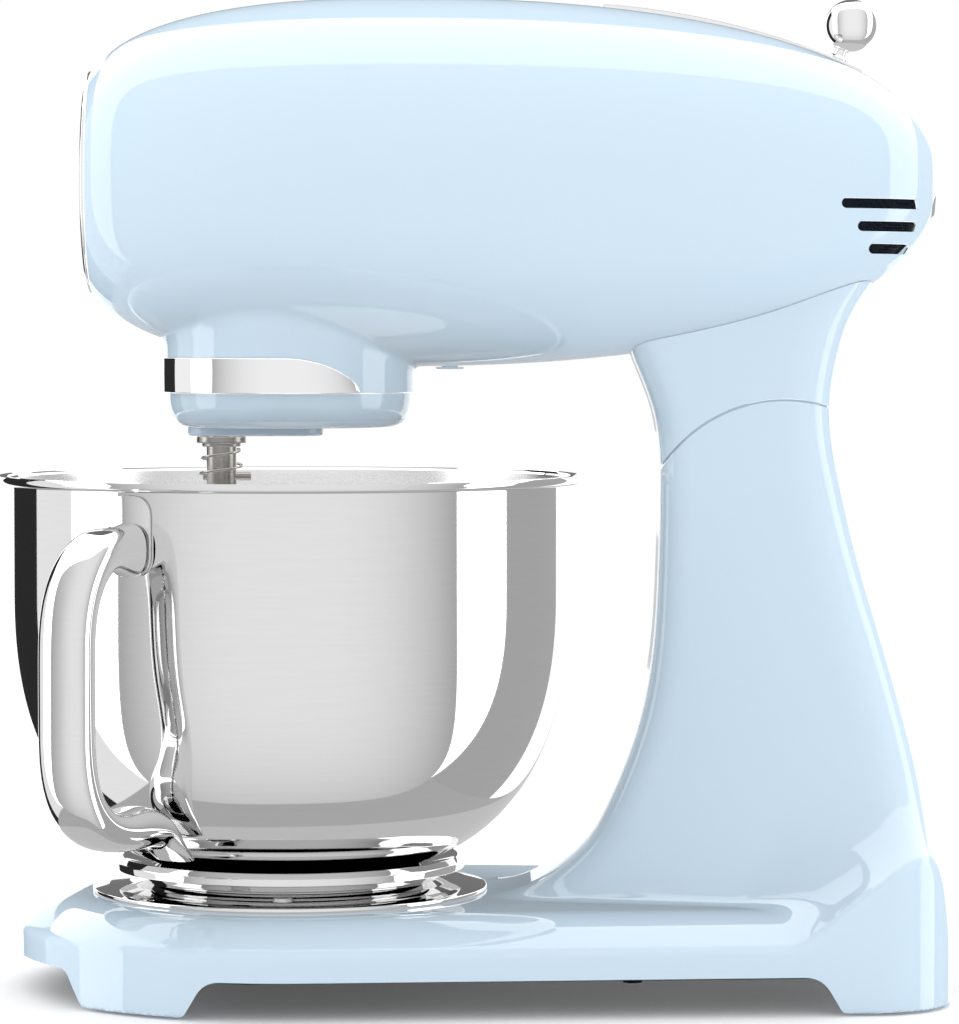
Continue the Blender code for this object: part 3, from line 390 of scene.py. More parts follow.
def spline(points):
    """A smooth function through (position, value) points, with no bend at its two ends."""
    x = np.array([p[0] for p in points], float)
    y = np.array([p[1] for p in points], float)
    step = np.diff(x)
    count = len(x)
    matrix = np.eye(count)
    rhs = np.zeros(count)
    for i in range(1, count - 1):
        matrix[i, i - 1] = step[i - 1]
        matrix[i, i] = 2 * (step[i - 1] + step[i])
        matrix[i, i + 1] = step[i]
        rhs[i] = 6 * ((y[i + 1] - y[i]) / step[i] - (y[i] - y[i - 1]) / step[i - 1])
    bend = np.linalg.solve(matrix, rhs)

    def value(at):
        at = np.clip(at, x[0], x[-1])
        i = np.clip(np.searchsorted(x, at) - 1, 0, count - 2)
        h = step[i]
        a = (x[i + 1] - at) / h
        b = (at - x[i]) / h
        curve = ((a**3 - a) * bend[i] + (b**3 - b) * bend[i + 1]) * h**2 / 6
        return a * y[i] + b * y[i + 1] + curve

    return value


# ---------------------------------------------------------------- fields


def smooth_max(a, b, k):
    """The larger of two fields, with the corner between them rounded over a width k."""
    h = np.clip(0.5 + 0.5 * (a - b) / k, 0, 1)
    return b + (a - b) * h + k * h * (1 - h)


def smooth_min(a, b, k):
    """The smaller of two fields, with the corner between them filled over a width k."""
    return -smooth_max(-a, -b, k)


def outline_distance(x, y):
    """Signed distance to the outline of the base, the hull of one large and two small circles."""
    y = np.abs(y)
    corner_x = BASE_REAR_X - BASE_CORNER_R
    away = math.hypot(corner_x - BOWL_X, BASE_CORNER_Y)
    normal = math.atan2(BASE_CORNER_Y, corner_x - BOWL_X) + math.acos((BASE_FRONT_R - BASE_CORNER_R) / away)
    nx, ny = math.cos(normal), math.sin(normal)
    side = nx * (x - BOWL_X) + ny * y - BASE_FRONT_R
    front = np.hypot(x - BOWL_X, y) - BASE_FRONT_R
    corner = np.hypot(x - corner_x, y - BASE_CORNER_Y) - BASE_CORNER_R
    on_front = nx * y - ny * (x - BOWL_X) > 0
    on_corner = (x > corner_x) & (y > BASE_CORNER_Y) & (nx * (y - BASE_CORNER_Y) - ny * (x - corner_x) < 0)
    distance = np.maximum(side, x - BASE_REAR_X)
    distance = np.where(on_front, np.maximum(distance, front), distance)
    return np.where(on_corner, np.maximum(distance, corner), distance)


def column_field(column):
    """The field function of the column and neck, from a table like COLUMN."""
    curves = [spline([(row[0], row[k]) for row in column]) for k in (1, 2, 3, 4)]
    front_at, rear_at, half_at, widening_at = curves
    step = SLOPE_STEP

    def half_width(x, z):
        front, rear = front_at(z), rear_at(z)
        u = np.clip((2 * x - front - rear) / (rear - front), -1.2, 1.2)
        spread = np.clip((FLARE_TOP_Z - z) / (FLARE_TOP_Z - FLARE_START_Z), 0, 1.1)
        crown = 1 - 0.04 * u**2
        flare = FLARE_WIDTH * spread**FLARE_POWER * np.clip(u, 0, 2) ** 1.75
        return half_at(z) * (crown + widening_at(z) * u) + flare

    def field(x, y, z):
        half = half_width(x, z)
        slope_z = (half_width(x, z + step) - half_width(x, z - step)) / (2 * step)
        slope_x = (half_width(x + step, z) - half_width(x - step, z)) / (2 * step)
        flank = (np.sqrt(y**2 + 0.01) - half) / np.sqrt(1 + slope_z**2 + slope_x**2)
        front_slope = (front_at(z + step) - front_at(z - step)) / (2 * step)
        rear_slope = (rear_at(z + step) - rear_at(z - step)) / (2 * step)
        front = (front_at(z) - x) / np.sqrt(1 + front_slope**2)
        rear = (x - rear_at(z)) / np.sqrt(1 + rear_slope**2)
        return smooth_max(smooth_max(flank, front, FRONT_EDGE), rear, REAR_EDGE)

    return field


COLUMN_FIELD = column_field(COLUMN)


def base_field(x, y, z):
    """Base and column, up to a little beyond the dome that the seam follows."""
    outline = outline_distance(x, y)
    share = np.clip(1 + outline / BASE_CROWN, 0, 1.2)
    drop = BASE_TOP_Z - BASE_EDGE_Z
    slope = drop * CROWN_POWER / BASE_CROWN * share ** (CROWN_POWER - 1)
    top = (z - BASE_TOP_Z + drop * share**CROWN_POWER) / np.sqrt(1 + slope**2)
    dome = np.where(z > TILT_Z, np.hypot(x - TILT_X, z - TILT_Z), np.abs(x - TILT_X)) - SEAM_R - 1.5
    column = np.maximum(COLUMN_FIELD(x, y, z), np.where(z > TILT_Z, dome, -99))
    body = smooth_min(top, column, FOOT_FILLET)
    body = smooth_max(body, outline, 2.2)
    return smooth_max(body, LEG_Z - z, 1.0)


def base_cavity_field(x, y, z):
    """The inside of the base and column, open below."""
    outline = outline_distance(x, y)
    column = np.maximum(COLUMN_FIELD(x, y, z) + WALL, 20 - z)
    dome = np.hypot(x - TILT_X, z - TILT_Z) - SEAM_R + WALL
    column = np.maximum(column, np.where(z > TILT_Z, dome, -99))
    column = np.maximum(column, outline + 4.5)
    rim = np.maximum(outline + 4.5, z - BASE_TOP_Z + 5)
    crown = np.maximum(outline + 16, z - BASE_TOP_Z + 3.6)
    low = np.maximum(np.minimum(rim, crown), z - 22 - 0.5 * np.clip(-outline, 0, 40))
    return np.maximum(np.minimum(low, column), -4 - z)


def lip_field(x, y, z):
    """The part of the column that stands up into the tilt seam, which would be see-through without it."""
    return np.maximum(np.maximum(COLUMN_FIELD(x, y, z) + 0.9, 155 - z), z - 235)


def neck_field(x, y, z):
    """The part of the column that tilts with the head."""
    return np.maximum(np.maximum(COLUMN_FIELD(x, y, z), NECK_LOW_Z - z), z - NECK_TOP_Z)


def neck_cavity_field(x, y, z):
    """The inside of the neck."""
    return np.maximum(np.maximum(COLUMN_FIELD(x, y, z) + WALL, NECK_LOW_Z - 5 - z), z - NECK_TOP_Z - 5)


def torpedo_field(x, y, z):
    """The head without its collar."""
    in_front = x < HEAD_MID_X
    tip, p, q = (np.where(in_front, a, b) for a, b in zip(HEAD_FRONT, HEAD_REAR))
    reach = np.abs(tip - HEAD_MID_X)
    s = np.clip(np.abs(x - HEAD_MID_X) / reach, 0, 0.9995)
    full = 1 - s**p
    half = HEAD_R * full ** (1 / q)
    slope = HEAD_R * full ** (1 / q - 1) * p * s ** (p - 1) / (q * reach)
    width = 1 + (HEAD_WIDTH - 1) * (half / HEAD_R) ** 4
    across = np.sqrt((y / width) ** 2 + (z - HEAD_Z) ** 2)
    return np.maximum((across - half) / np.sqrt(1 + slope**2), np.abs(x - HEAD_MID_X) - reach + 1.5)


def head_field(x, y, z):
    """The head with its collar."""
    collar = np.maximum(np.hypot(x - BOWL_X, y) - COLLAR_R, np.abs(z - 255) - 35)
    return smooth_min(torpedo_field(x, y, z), collar, COLLAR_FILLET)


def head_cavity_field(x, y, z):
    """The inside of the head."""
    ends = np.maximum(FRONT_OPENING_X + 2 - x, x - REAR_OPENING_X + 4)
    return np.maximum(torpedo_field(x, y, z) + WALL, ends)


def head_over_field(x, y, z):
    """The room that the neck leaves for the head."""
    return np.maximum(torpedo_field(x, y, z) - 0.35, 15 - x)


def slope_of(field, points, reach=0.02):
    """The field's gradient at each point."""
    columns = []
    for axis in range(3):
        step = np.zeros(3)
        step[axis] = reach
        change = field(*(points + step).T) - field(*(points - step).T)
        columns.append(change / (2 * reach))
    return np.stack(columns, axis=1)


def field_mesh(name, field, low, high, step):
    """Skin of the region where the field is negative, with one point per grid cell that it crosses."""
    axes = [np.arange(a, b + step, step) for a, b in zip(low, high)]
    shape = tuple(len(axis) for axis in axes)
    values = np.broadcast_to(field(*np.ix_(*axes)), shape)
    inside = values < 0
    positions = []
    quads = []
    for axis in range(3):
        ahead = np.zeros(3, int)
        ahead[axis] = 1
        first = tuple(slice(0, -1) if k == axis else slice(None) for k in range(3))
        second = tuple(slice(1, None) if k == axis else slice(None) for k in range(3))
        crossing = np.argwhere(inside[first] != inside[second])
        a = values[tuple(crossing.T)]
        b = values[tuple((crossing + ahead).T)]
        position = crossing + ahead * (a / (a - b))[:, None]
        cells = []
        for back_u, back_v in ((0, 0), (1, 0), (1, 1), (0, 1)):
            cell = crossing.copy()
            cell[:, (axis + 1) % 3] -= back_u
            cell[:, (axis + 2) % 3] -= back_v
            cells.append(np.ravel_multi_index(cell.T, shape))
        quad = np.stack(cells, axis=1)
        turned = a > 0
        quad[turned] = quad[turned, ::-1]
        quads.append(quad)
        positions.append(np.repeat(position, 4, axis=0))
    positions = np.concatenate(positions)
    index = np.unique(np.concatenate(quads).ravel(), return_inverse=True)[1].ravel()
    total = np.bincount(index)
    points = np.stack([np.bincount(index, positions[:, k]) / total for k in range(3)], axis=1)
    points = points * step + np.array(low, float)
    for _ in range(4):
        value = np.clip(field(*points.T), -step, step)
        slope = slope_of(field, points)
        points -= slope * (value / np.maximum((slope**2).sum(axis=1), 0.05))[:, None]
    return add_mesh(name, points, index.reshape(-1, 4).tolist())


def follow(obj, field):
    """Gives the faces that lie on the field its exact normals, and leaves the cut faces as they are."""
    mesh = obj.data
    shade(obj)
    normals = np.empty(len(mesh.loops) * 3, np.float32)
    mesh.corner_normals.foreach_get("vector", normals)
    normals = normals.reshape(-1, 3).astype(float)
    corner = np.empty(len(mesh.loops), np.int32)
    mesh.loops.foreach_get("vertex_index", corner)
    points = np.empty(len(mesh.vertices) * 3, np.float32)
    mesh.vertices.foreach_get("co", points)
    points = points.reshape(-1, 3).astype(float) / MM - (0, MID_Y, 0)
    slope = slope_of(field, points)
    slope /= np.maximum(np.linalg.norm(slope, axis=1), 1e-9)[:, None]
    near = np.abs(field(*points.T)) < 0.05
    flat = np.empty(len(mesh.polygons) * 3, np.float32)
    mesh.polygons.foreach_get("normal", flat)
    sizes = np.empty(len(mesh.polygons), np.int32)
    mesh.polygons.foreach_get("loop_total", sizes)
    flat = np.repeat(flat.reshape(-1, 3), sizes, axis=0)
    lies = near[corner] & ((slope[corner] * flat).sum(axis=1) > 0.86)
    normals[lies] = slope[corner][lies]
    mesh.normals_split_custom_set(normals.tolist())


# ---------------------------------------------------------------- materials


def node_of(tree, kind, **values):
    """A shader node; values set its properties, and the _ ones its inputs by name."""
    node = tree.nodes.new(kind)
    for key, value in values.items():
        if key.startswith("_"):
            node.inputs[key[1:].replace("_", " ")].default_value = value
        else:
            setattr(node, key, value)
    return node


def make_finish(
    name, dark, light, rough, metallic=0.0, scale=60.0, stretch=(1, 1, 1), bump=0.0, coat=0.0, specular=0.5
):
    """A Principled material whose tone, roughness and surface vary finely."""
    material = bpy.data.materials.new("look_" + name)
    material.use_nodes = True
    tree = material.node_tree
    shader = tree.nodes["Principled BSDF"]
    shader.inputs["Metallic"].default_value = metallic
    shader.inputs["Coat Weight"].default_value = coat
    shader.inputs["Specular IOR Level"].default_value = specular
    shader.inputs["Coat Roughness"].default_value = 0.02
    place = node_of(tree, "ShaderNodeTexCoord")
    mapping = node_of(tree, "ShaderNodeMapping", _Scale=stretch)
    noise = node_of(tree, "ShaderNodeTexNoise", _Scale=scale, _Detail=4.0)
    tone = node_of(tree, "ShaderNodeMix", data_type="RGBA")
    tone.inputs[6].default_value = (*dark, 1)
    tone.inputs[7].default_value = (*light, 1)
    link = tree.links.new
    link(place.outputs["Object"], mapping.inputs["Vector"])
    link(mapping.outputs["Vector"], noise.inputs["Vector"])
    link(noise.outputs["Fac"], tone.inputs[0])
    link(tone.outputs[2], shader.inputs["Base Color"])
    grain = node_of(tree, "ShaderNodeTexNoise", _Scale=scale * 9, _Detail=3.0)
    link(mapping.outputs["Vector"], grain.inputs["Vector"])
    span = node_of(tree, "ShaderNodeMapRange", _To_Min=rough[0], _To_Max=rough[1])
    link(grain.outputs["Fac"], span.inputs["Value"])
    link(span.outputs["Result"], shader.inputs["Roughness"])
    if bump:
        raised = node_of(tree, "ShaderNodeBump", _Strength=1.0, _Distance=bump * MM)
        link(grain.outputs["Fac"], raised.inputs["Height"])
        link(raised.outputs["Normal"], shader.inputs["Normal"])
    return material


RINGS = (1, 1, 14)  # stretches the grain round a vertical axis
LOOKS = {
    "enamel": make_finish(
        "enamel", (0.535, 0.663, 0.773), (0.545, 0.673, 0.783), (0.28, 0.32), 0, 25, coat=1.0, specular=0.0
    ),
    "chrome": make_finish("chrome", (0.80, 0.80, 0.81), (0.84, 0.84, 0.85), (0.02, 0.05), 1, 40),
    "mirror": make_finish("mirror", (0.70, 0.70, 0.70), (0.74, 0.74, 0.74), (0.025, 0.05), 1, 60, RINGS),
    "satin": make_finish("satin", (0.74, 0.74, 0.74), (0.84, 0.84, 0.84), (0.22, 0.34), 1, 60, RINGS, 0.004),
    "steel": make_finish("steel", (0.58, 0.58, 0.58), (0.72, 0.72, 0.72), (0.12, 0.24), 1, 120, RINGS, 0.004),
    "machined": make_finish(
        "machined", (0.50, 0.50, 0.51), (0.66, 0.66, 0.67), (0.28, 0.42), 1, 140, bump=0.01
    ),
    "cast": make_finish("cast", (0.42, 0.43, 0.45), (0.60, 0.61, 0.63), (0.45, 0.6), 1, 160, bump=0.06),
    "winding": make_finish(
        "winding", (0.30, 0.17, 0.09), (0.55, 0.33, 0.18), (0.4, 0.55), 1, 90, (1, 1, 9), 0.1
    ),
    "rubber": make_finish("rubber", (0.02, 0.02, 0.02), (0.05, 0.05, 0.05), (0.65, 0.85), 0, 150, bump=0.05),
    # near-black with almost no reflection: painted shade on the vent sheets and on the base cover
    "black": make_finish(
        "black", (0.004, 0.007, 0.012), (0.008, 0.012, 0.019), (0.5, 0.6), 0, 150, specular=0.03
    ),
    "gunmetal": make_finish(
        "gunmetal", (0.20, 0.19, 0.18), (0.34, 0.33, 0.31), (0.15, 0.3), 1, 120, RINGS, 0.01
    ),
    "stopper": make_finish("stopper", (0.50, 0.62, 0.73), (0.53, 0.65, 0.76), (0.4, 0.5), 0, 110, bump=0.02),
    "nylon": make_finish("nylon", (0.78, 0.77, 0.72), (0.86, 0.85, 0.81), (0.4, 0.5), 0, 110, bump=0.02),
    "board": make_finish("board", (0.02, 0.16, 0.07), (0.05, 0.26, 0.12), (0.35, 0.5), 0, 200, bump=0.02),
}


def dress(obj, look, body, slot, *nodes):
    """Gives the piece its material and body, and hides the CAD nodes it stands for; the slot argument is not
    used.
    """
    obj.data.materials.clear()
    obj.data.materials.append(LOOKS[look])
    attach(obj, body)
    if nodes:
        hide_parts(*nodes)
    return obj


# ---------------------------------------------------------------- stand


def above_dome(radius):
    """A cutter for everything above the tilt axis and outside a cylinder about it."""
    turns = [math.radians(-90 + 180 * i / 160) for i in range(161)]
    outline = [(TILT_X + radius * math.sin(t), TILT_Z + radius * math.cos(t)) for t in turns]
    front, rear, top = TILT_X - 110, TILT_X + 110, TILT_Z + 160
    outline += [(rear, TILT_Z), (rear, top), (front, top), (front, TILT_Z)]
    return prism("dome", outline, -120, 120, "Y")


def arc(centre, radius, start, end, count=24):
    """Points on an arc, from start to end degrees, measured from the second axis towards the first."""
    turns = [math.radians(start + (end - start) * i / (count - 1)) for i in range(count)]
    return [(centre[0] + radius * math.sin(t), centre[1] + radius * math.cos(t)) for t in turns]


def arches():
    """The long arches between the feet, and the short ones across each end."""
    low = LEG_Z - 0.05
    side = [(-109, -6, 0), (-109, low, 0), (-103.6, low, 4), (-95.7, ARCH_Z, 10)]
    side += [(128.7, ARCH_Z, 11), (136.6, low, 4.5), (142, low, 0), (142, -6, 0)]
    across = [(-79, -6, 0), (-79, low, 0), (-73.5, low, 2.6), (-66, ARCH_Z, 6)]
    across += [(66, ARCH_Z, 6), (73.5, low, 2.6), (79, low, 0), (79, -6, 0)]
    narrow = [(y * 0.56, *rest) for y, *rest in across]
    return (
        prism("arch", rounded(side, 0), -150, 150, "Y"),
        prism("arch", rounded(across, 0), -200, -130, "X"),
        prism("arch", rounded(narrow, 0), 160, 200, "X"),
    )


def leg_places():
    """The name of each corner, and its foot's x and y."""
    for place in ("front_left", "front_right", "rear_left", "rear_right"):
        yield place, middle_of("foot_" + place, 0), middle_of("foot_" + place, 1) - MID_Y


def base():
    """The casting of base and column, and its rubber feet."""
    body = field_mesh("base_casting", base_field, (-177, -108, -4), (184, 108, 232), FINE)
    cavity = field_mesh("cavity", base_cavity_field, (-172, -104, -8), (180, 104, 228), COARSE)
    bosses = [rod("boss", 14, 4.3, 60, (x, y)) for _, x, y in leg_places()]
    bosses += [rod("boss", 10, *sorted((way * 14.6, way * 60)), (TILT_X, TILT_Z), "Y") for way in (-1, 1)]
    bosses.append(rod("boss", 12.5, BUTTON_FLOOR - 2.7, 170, (0, BUTTON_Z), "X"))
    combine(cavity, *bosses)
    slot = arc((TILT_X, TILT_Z), 30, -49, 18) + arc((TILT_X, TILT_Z), 62, 18, -49)
    back = BUTTON_FLOOR
    pocket = [(0, back - 6), (3, back - 6), (3, back), (9.8, back), (9.8, 175), (0, 175)]
    holes = [
        prism("slot", slot, -14.2, 14.2, "Y"),
        rod("hole", 5.3, -23.9, 23.9, (TILT_X, TILT_Z), "Y"),
        lathe("hole", pocket, (0, BUTTON_Z), "X", 96),
        rod("hole", 5.5, 165, 190, (GLAND_Y, GLAND_Z), "X"),
    ]
    holes += [rod("hole", 4.3, -5, 16, (x, y)) for _, x, y in leg_places()]
    for i in (1, 2, 3):
        node = f"lock_plate_screw_{i}"
        holes.append(rod("hole", 2.3, 25, 50, (middle_of(node, 0), middle_of(node, 1) - MID_Y)))
    groove = above_dome(SEAM_R - SEAM_GAP / 2)
    combine(groove, field_mesh("lip", lip_field, (40, -50, 150), (182, 50, 240), COARSE))
    combine(body, above_dome(SEAM_R + SEAM_GAP / 2 - 0.1), groove, cavity, *arches(), *holes)
    follow(body, base_field)
    dress(body, "enamel", "stand", "enamel", "base_column")
    for place, x, y in leg_places():
        profile = rounded([(0, 0, 0), (11, 0, 1.5), (11, 4, 0.4), (4, 4, 0), (4, 14, 0.5), (0, 14, 0)], 0.5)
        foot = lathe("rubber_foot_" + place, profile, (x, y), steps=64)
        dress(foot, "rubber", "stand", "rubber", "foot_" + place)


def lock_plate():
    """The steel flange under the bowl, with the three ears of its bayonet."""
    low = BASE_TOP_Z + 0.3
    profile = [(22, low, 0), (FLANGE_R, low, 0.5), (FLANGE_R, low + 1.3, 0.6), (69, low + 2.5, 6)]
    profile += [(61, 39.4, 6), (55.9, 40.8, 3), (54.4, 43.9, 0.3), (50.6, 43.9, 0.3), (50.6, 39, 1)]
    profile.append((22, 39, 0.5))
    plate = lathe("lock_plate", rounded(profile, 0), (BOWL_X, 0))
    for i in range(3):
        turn = 120 * i + 90
        outline = arc((BOWL_X, 0), 52, turn - 28, turn + 28) + arc((BOWL_X, 0), 47, turn + 28, turn - 28)
        combine(plate, prism("ear", outline, 41.7, 43.7), operation="UNION")
    dress(plate, "mirror", "stand", "steel", "bowl_lock_plate")


def button_and_gland():
    """The release button at the column's back, and the gland at the base's rear."""
    back = BUTTON_FLOOR + 2.8
    profile = [(0, back - 6.2, 0), (2.5, back - 6.2, 0.3), (2.5, back, 0), (9.2, back, 0.2)]
    profile += [(9.2, back + 1.2, 0.6), (7.8, back + 2, 2), (0, back + 2.5, 0)]
    button = lathe("latch_button", rounded(profile, 0), (0, BUTTON_Z), "X", 96)
    dress(button, "chrome", "button", "chrome", "release_button")
    face = BASE_REAR_X + 0.3
    profile = [(3.6, 173.8), (5.2, 173.8), (5.2, face), (7, face), (6.3, face + 0.9), (3.6, face + 0.9)]
    gland = lathe("cord_gland", rounded(profile, 0.3), (GLAND_Y, GLAND_Z), "X", 64)
    dress(gland, "rubber", "stand", "rubber", "cable_gland")


# ---------------------------------------------------------------- bowl


def bowl_radius(z):
    """Outer radius of the bowl at a height."""
    return BOWL_R * (1 - (max(BOWL_CURVE_Z - z, 0) / BOWL_CURVE_H) ** 2.3) ** (1 / 3)


def bowl():
    """One lathe: mirror outside, rolled rim, satin inside."""
    outer = [(0, BOWL_BOTTOM_Z), (bowl_radius(BOWL_BOTTOM_Z) - 3, BOWL_BOTTOM_Z)]
    heights = [BOWL_BOTTOM_Z + (BOWL_CURVE_Z - BOWL_BOTTOM_Z) * (i / 60) ** 1.8 for i in range(61)]
    outer += [(bowl_radius(z), z) for z in heights]
    outer += [(BOWL_R, BOWL_RIM_Z - 6), (BOWL_R, BOWL_RIM_Z - 4.4)]
    curl = 2.2
    middle = (BOWL_RIM_R - curl, BOWL_RIM_Z - curl)
    for i in range(17):
        turn = math.radians(215 - 250 * i / 16)
        outer.append((middle[0] - curl * math.cos(turn), middle[1] + curl * -math.sin(turn)))
    inner = [(BOWL_R + 0.4, BOWL_RIM_Z - 1.2), (BOWL_R - 0.8, BOWL_RIM_Z - 2.4)]
    inner.append((BOWL_R - BOWL_WALL, BOWL_RIM_Z - 4.4))
    inner += [(bowl_radius(z) - BOWL_WALL, z) for z in reversed(heights) if z > BOWL_BOTTOM_Z + 5]
    inner += [(44, BOWL_BOTTOM_Z + BOWL_WALL + 1), (0, BOWL_BOTTOM_Z + BOWL_WALL + 1)]
    obj = lathe("mixing_bowl", outer + inner, (BOWL_X, 0), steps=256)
    dress(obj, "mirror", "bowl", "steel", "bowl")
    obj.data.materials.append(LOOKS["satin"])
    for face in obj.data.polygons:
        middle_z = face.center.z / MM
        away = math.hypot(face.center.x / MM - BOWL_X, face.center.y / MM - MID_Y)
        inside = away < bowl_radius(max(middle_z, BOWL_BOTTOM_Z)) - BOWL_WALL / 2
        if inside and BOWL_BOTTOM_Z + 0.5 < middle_z < BOWL_RIM_Z - 1.8:
            face.material_index = 1


def bowl_foot():
    """The bowl's foot ring with its bayonet lugs, and the seat ring inside it."""
    profile = [(41.5, 39.8, 0.3), (44.6, 39.8, 0.3), (44.6, 44.4, 1), (54, 44.6, 2), (66.9, 44.6, 0.6)]
    profile += [(66.9, 47.4, 1.2), (64, 49.4, 1), (53, 46.5, 1), (41.5, 46.5, 0.3)]
    ring = lathe("foot_ring", rounded(profile, 0), (BOWL_X, 0))
    for i in range(3):
        turn = 120 * i + 30
        outline = arc((BOWL_X, 0), 49.8, turn - 20, turn + 20) + arc((BOWL_X, 0), 43, turn + 20, turn - 20)
        combine(ring, prism("lug", outline, 39.8, 41.2), operation="UNION")
    dress(ring, "mirror", "bowl", "steel", "bowl_foot_ring")
    profile = rounded([(32, 39.3), (40.5, 39.3), (40.5, 46.2), (32, 46.2)], 0.6)
    seat = lathe("seat_ring", profile, (BOWL_X, 0))
    dress(seat, "nylon", "seat", "nylon", "bowl_seat_ring")


def bowl_handle():
    """The handle, swept through the sections of its table, and the plate at its upper end."""
    turn = math.radians(HANDLE_TURN)
    out = Vector((-math.sin(turn), -math.cos(turn), 0))
    side = Vector((math.cos(turn), -math.sin(turn), 0))
    run = [0.0]
    for before, after in zip(HANDLE, HANDLE[1:]):
        run.append(run[-1] + math.hypot(after[0] - before[0], after[1] - before[1]))
    curves = [spline([(r, row[k]) for r, row in zip(run, HANDLE)]) for k in range(5)]
    rings = []
    for i in range(161):
        distance, z, width, thickness, tilt = (float(curve(run[-1] * i / 160)) for curve in curves)
        t = math.radians(tilt)
        normal = out * math.cos(t) + Vector((0, 0, math.sin(t)))
        middle = Vector((BOWL_X, 0, 0)) + out * distance + Vector((0, 0, z))
        ring = []
        for k in range(56):
            a = math.tau * k / 56
            u = math.copysign(abs(math.cos(a)) ** 0.8, math.cos(a))
            v = math.copysign(abs(math.sin(a)) ** 0.8, math.sin(a))
            ring.append(middle + side * (u * width / 2) + normal * (v * thickness / 2))
        rings.append(ring)
    handle = skin("handle", rings)
    dress(handle, "mirror", "bowl", "steel", "bowl_handle")
    low, high, half = MOUNT_LOW, MOUNT_HIGH, MOUNT_HALF
    plate = rounded([(-half, low), (half, low), (half, high), (-half, high)], 8.6, steps=12)
    rings = []
    for distance in (BOWL_R + 0.35, BOWL_R + 1.5):
        ring = []
        for u, z in plate:
            angle = u / BOWL_R
            direction = out * math.cos(angle) + side * math.sin(angle)
            ring.append(Vector((BOWL_X, 0, z)) + direction * distance)
        rings.append(ring)
    mount = soften(skin("handle_mount", rings), 0.35)
    dress(mount, "mirror", "bowl", "steel", "bowl_handle")


# ---------------------------------------------------------------- head


def rail_prism(name, low, high, start, end, half_width):
    """A curved block round the rail's centre, between two radii and two angles."""
    outline = arc((RAIL_X, RAIL_Z), low, start, end, 72) + arc((RAIL_X, RAIL_Z), high, end, start, 72)
    return prism(name, outline, -half_width, half_width, "Y")


def vent_slots():
    """Cutters for the vents on both sides."""
    slots = []
    for way in (-1, 1):
        for x, z, high, low in VENTS:
            half = VENT_H / 2
            outline = arc((x + half, z), half, 180, 360, 13)
            tail = [(high, z + half, 1.1), (low, z - half, 0.5)]
            outline = rounded([*((a, b, 0) for a, b in outline), *tail], 0)
            slots.append(prism("slot", outline, *sorted((way * 8, way * 90)), "Y"))
    return slots


def head():
    """The casting of the head, and the neck below it."""
    shell = field_mesh("head_casting", head_field, (-154, -76, 216), (180, 76, 380), FINE)
    cavity = field_mesh("cavity", head_cavity_field, (-148, -76, 230), (176, 76, 380), COARSE)
    cutters = [
        box("below", (-130, -60, 200), (-5, 60, COLLAR_Z)),
        box("front", (-190, -90, 200), (FRONT_OPENING_X, 90, 400)),
        box("rear", (REAR_OPENING_X, -90, 200), (200, 90, 400)),
        rod("opening", FRONT_OPENING_R, -160, -136, (0, HEAD_Z), "X", 160),
        rod("opening", REAR_OPENING_R, 160, 190, (0, HEAD_Z), "X"),
        rod("opening", COLLAR_R - WALL, 190, 258, (BOWL_X, 0), steps=160),
        box("opening", (70, -16, 220), (112, 16, 264)),
        rod("opening", 3.3, 220, 262, (PLUG_X, 0)),
        rail_prism("opening", RAIL_R - 12, RAIL_R + 12, 5.1, 23.5, 3.2),
        rail_prism("groove", RAIL_R - 1.5, RAIL_R + 9, RAIL_START, RAIL_END, RAIL_W / 2 + 0.3),
    ]
    combine(shell, cavity, *cutters, *vent_slots())
    follow(shell, head_field)
    dress(shell, "enamel", "head", "enamel", "head_shell")

    neck = field_mesh("neck_casting", neck_field, (48, -34, 182), (166, 34, 280), FINE)
    over = field_mesh("over", head_over_field, (10, -78, 230), (182, 78, 384), CLOSE)
    hollow = field_mesh("hollow", neck_cavity_field, (44, -32, 178), (170, 32, 282), COARSE)
    core = rod("core", SEAM_R + SEAM_GAP / 2, -60, 60, (TILT_X, TILT_Z), "Y", 360)
    combine(neck, core, over, hollow)
    follow(neck, neck_field)
    dress(neck, "enamel", "head", "enamel", "neck_shell")


def collar_band():
    """The chrome band round the collar, which sinks away towards the rear."""
    rings = []
    steps = 220
    inside = COLLAR_R + 0.2
    for i in range(steps + 1):
        turn = BAND_END + (360 - 2 * BAND_END) * i / steps
        rise = min((min(turn, 360 - turn) - BAND_END) / (BAND_FULL - BAND_END), 1)
        top = COLLAR_Z + 0.5 + (BAND_TOP_Z - COLLAR_Z - 0.5) * math.sin(rise * math.pi / 2) ** 0.62
        t = math.radians(turn)
        r = min(0.3, (top - COLLAR_Z) / 3)
        corners = [(inside, COLLAR_Z, 0), (BAND_R, COLLAR_Z, r), (BAND_R, top, r), (inside, top, 0)]
        section = rounded(corners, 0, steps=3)
        rings.append([(BOWL_X + a * math.cos(t), a * math.sin(t), z) for a, z in section])
    dress(skin("chrome_band", rings), "chrome", "head", "chrome", "collar_band")


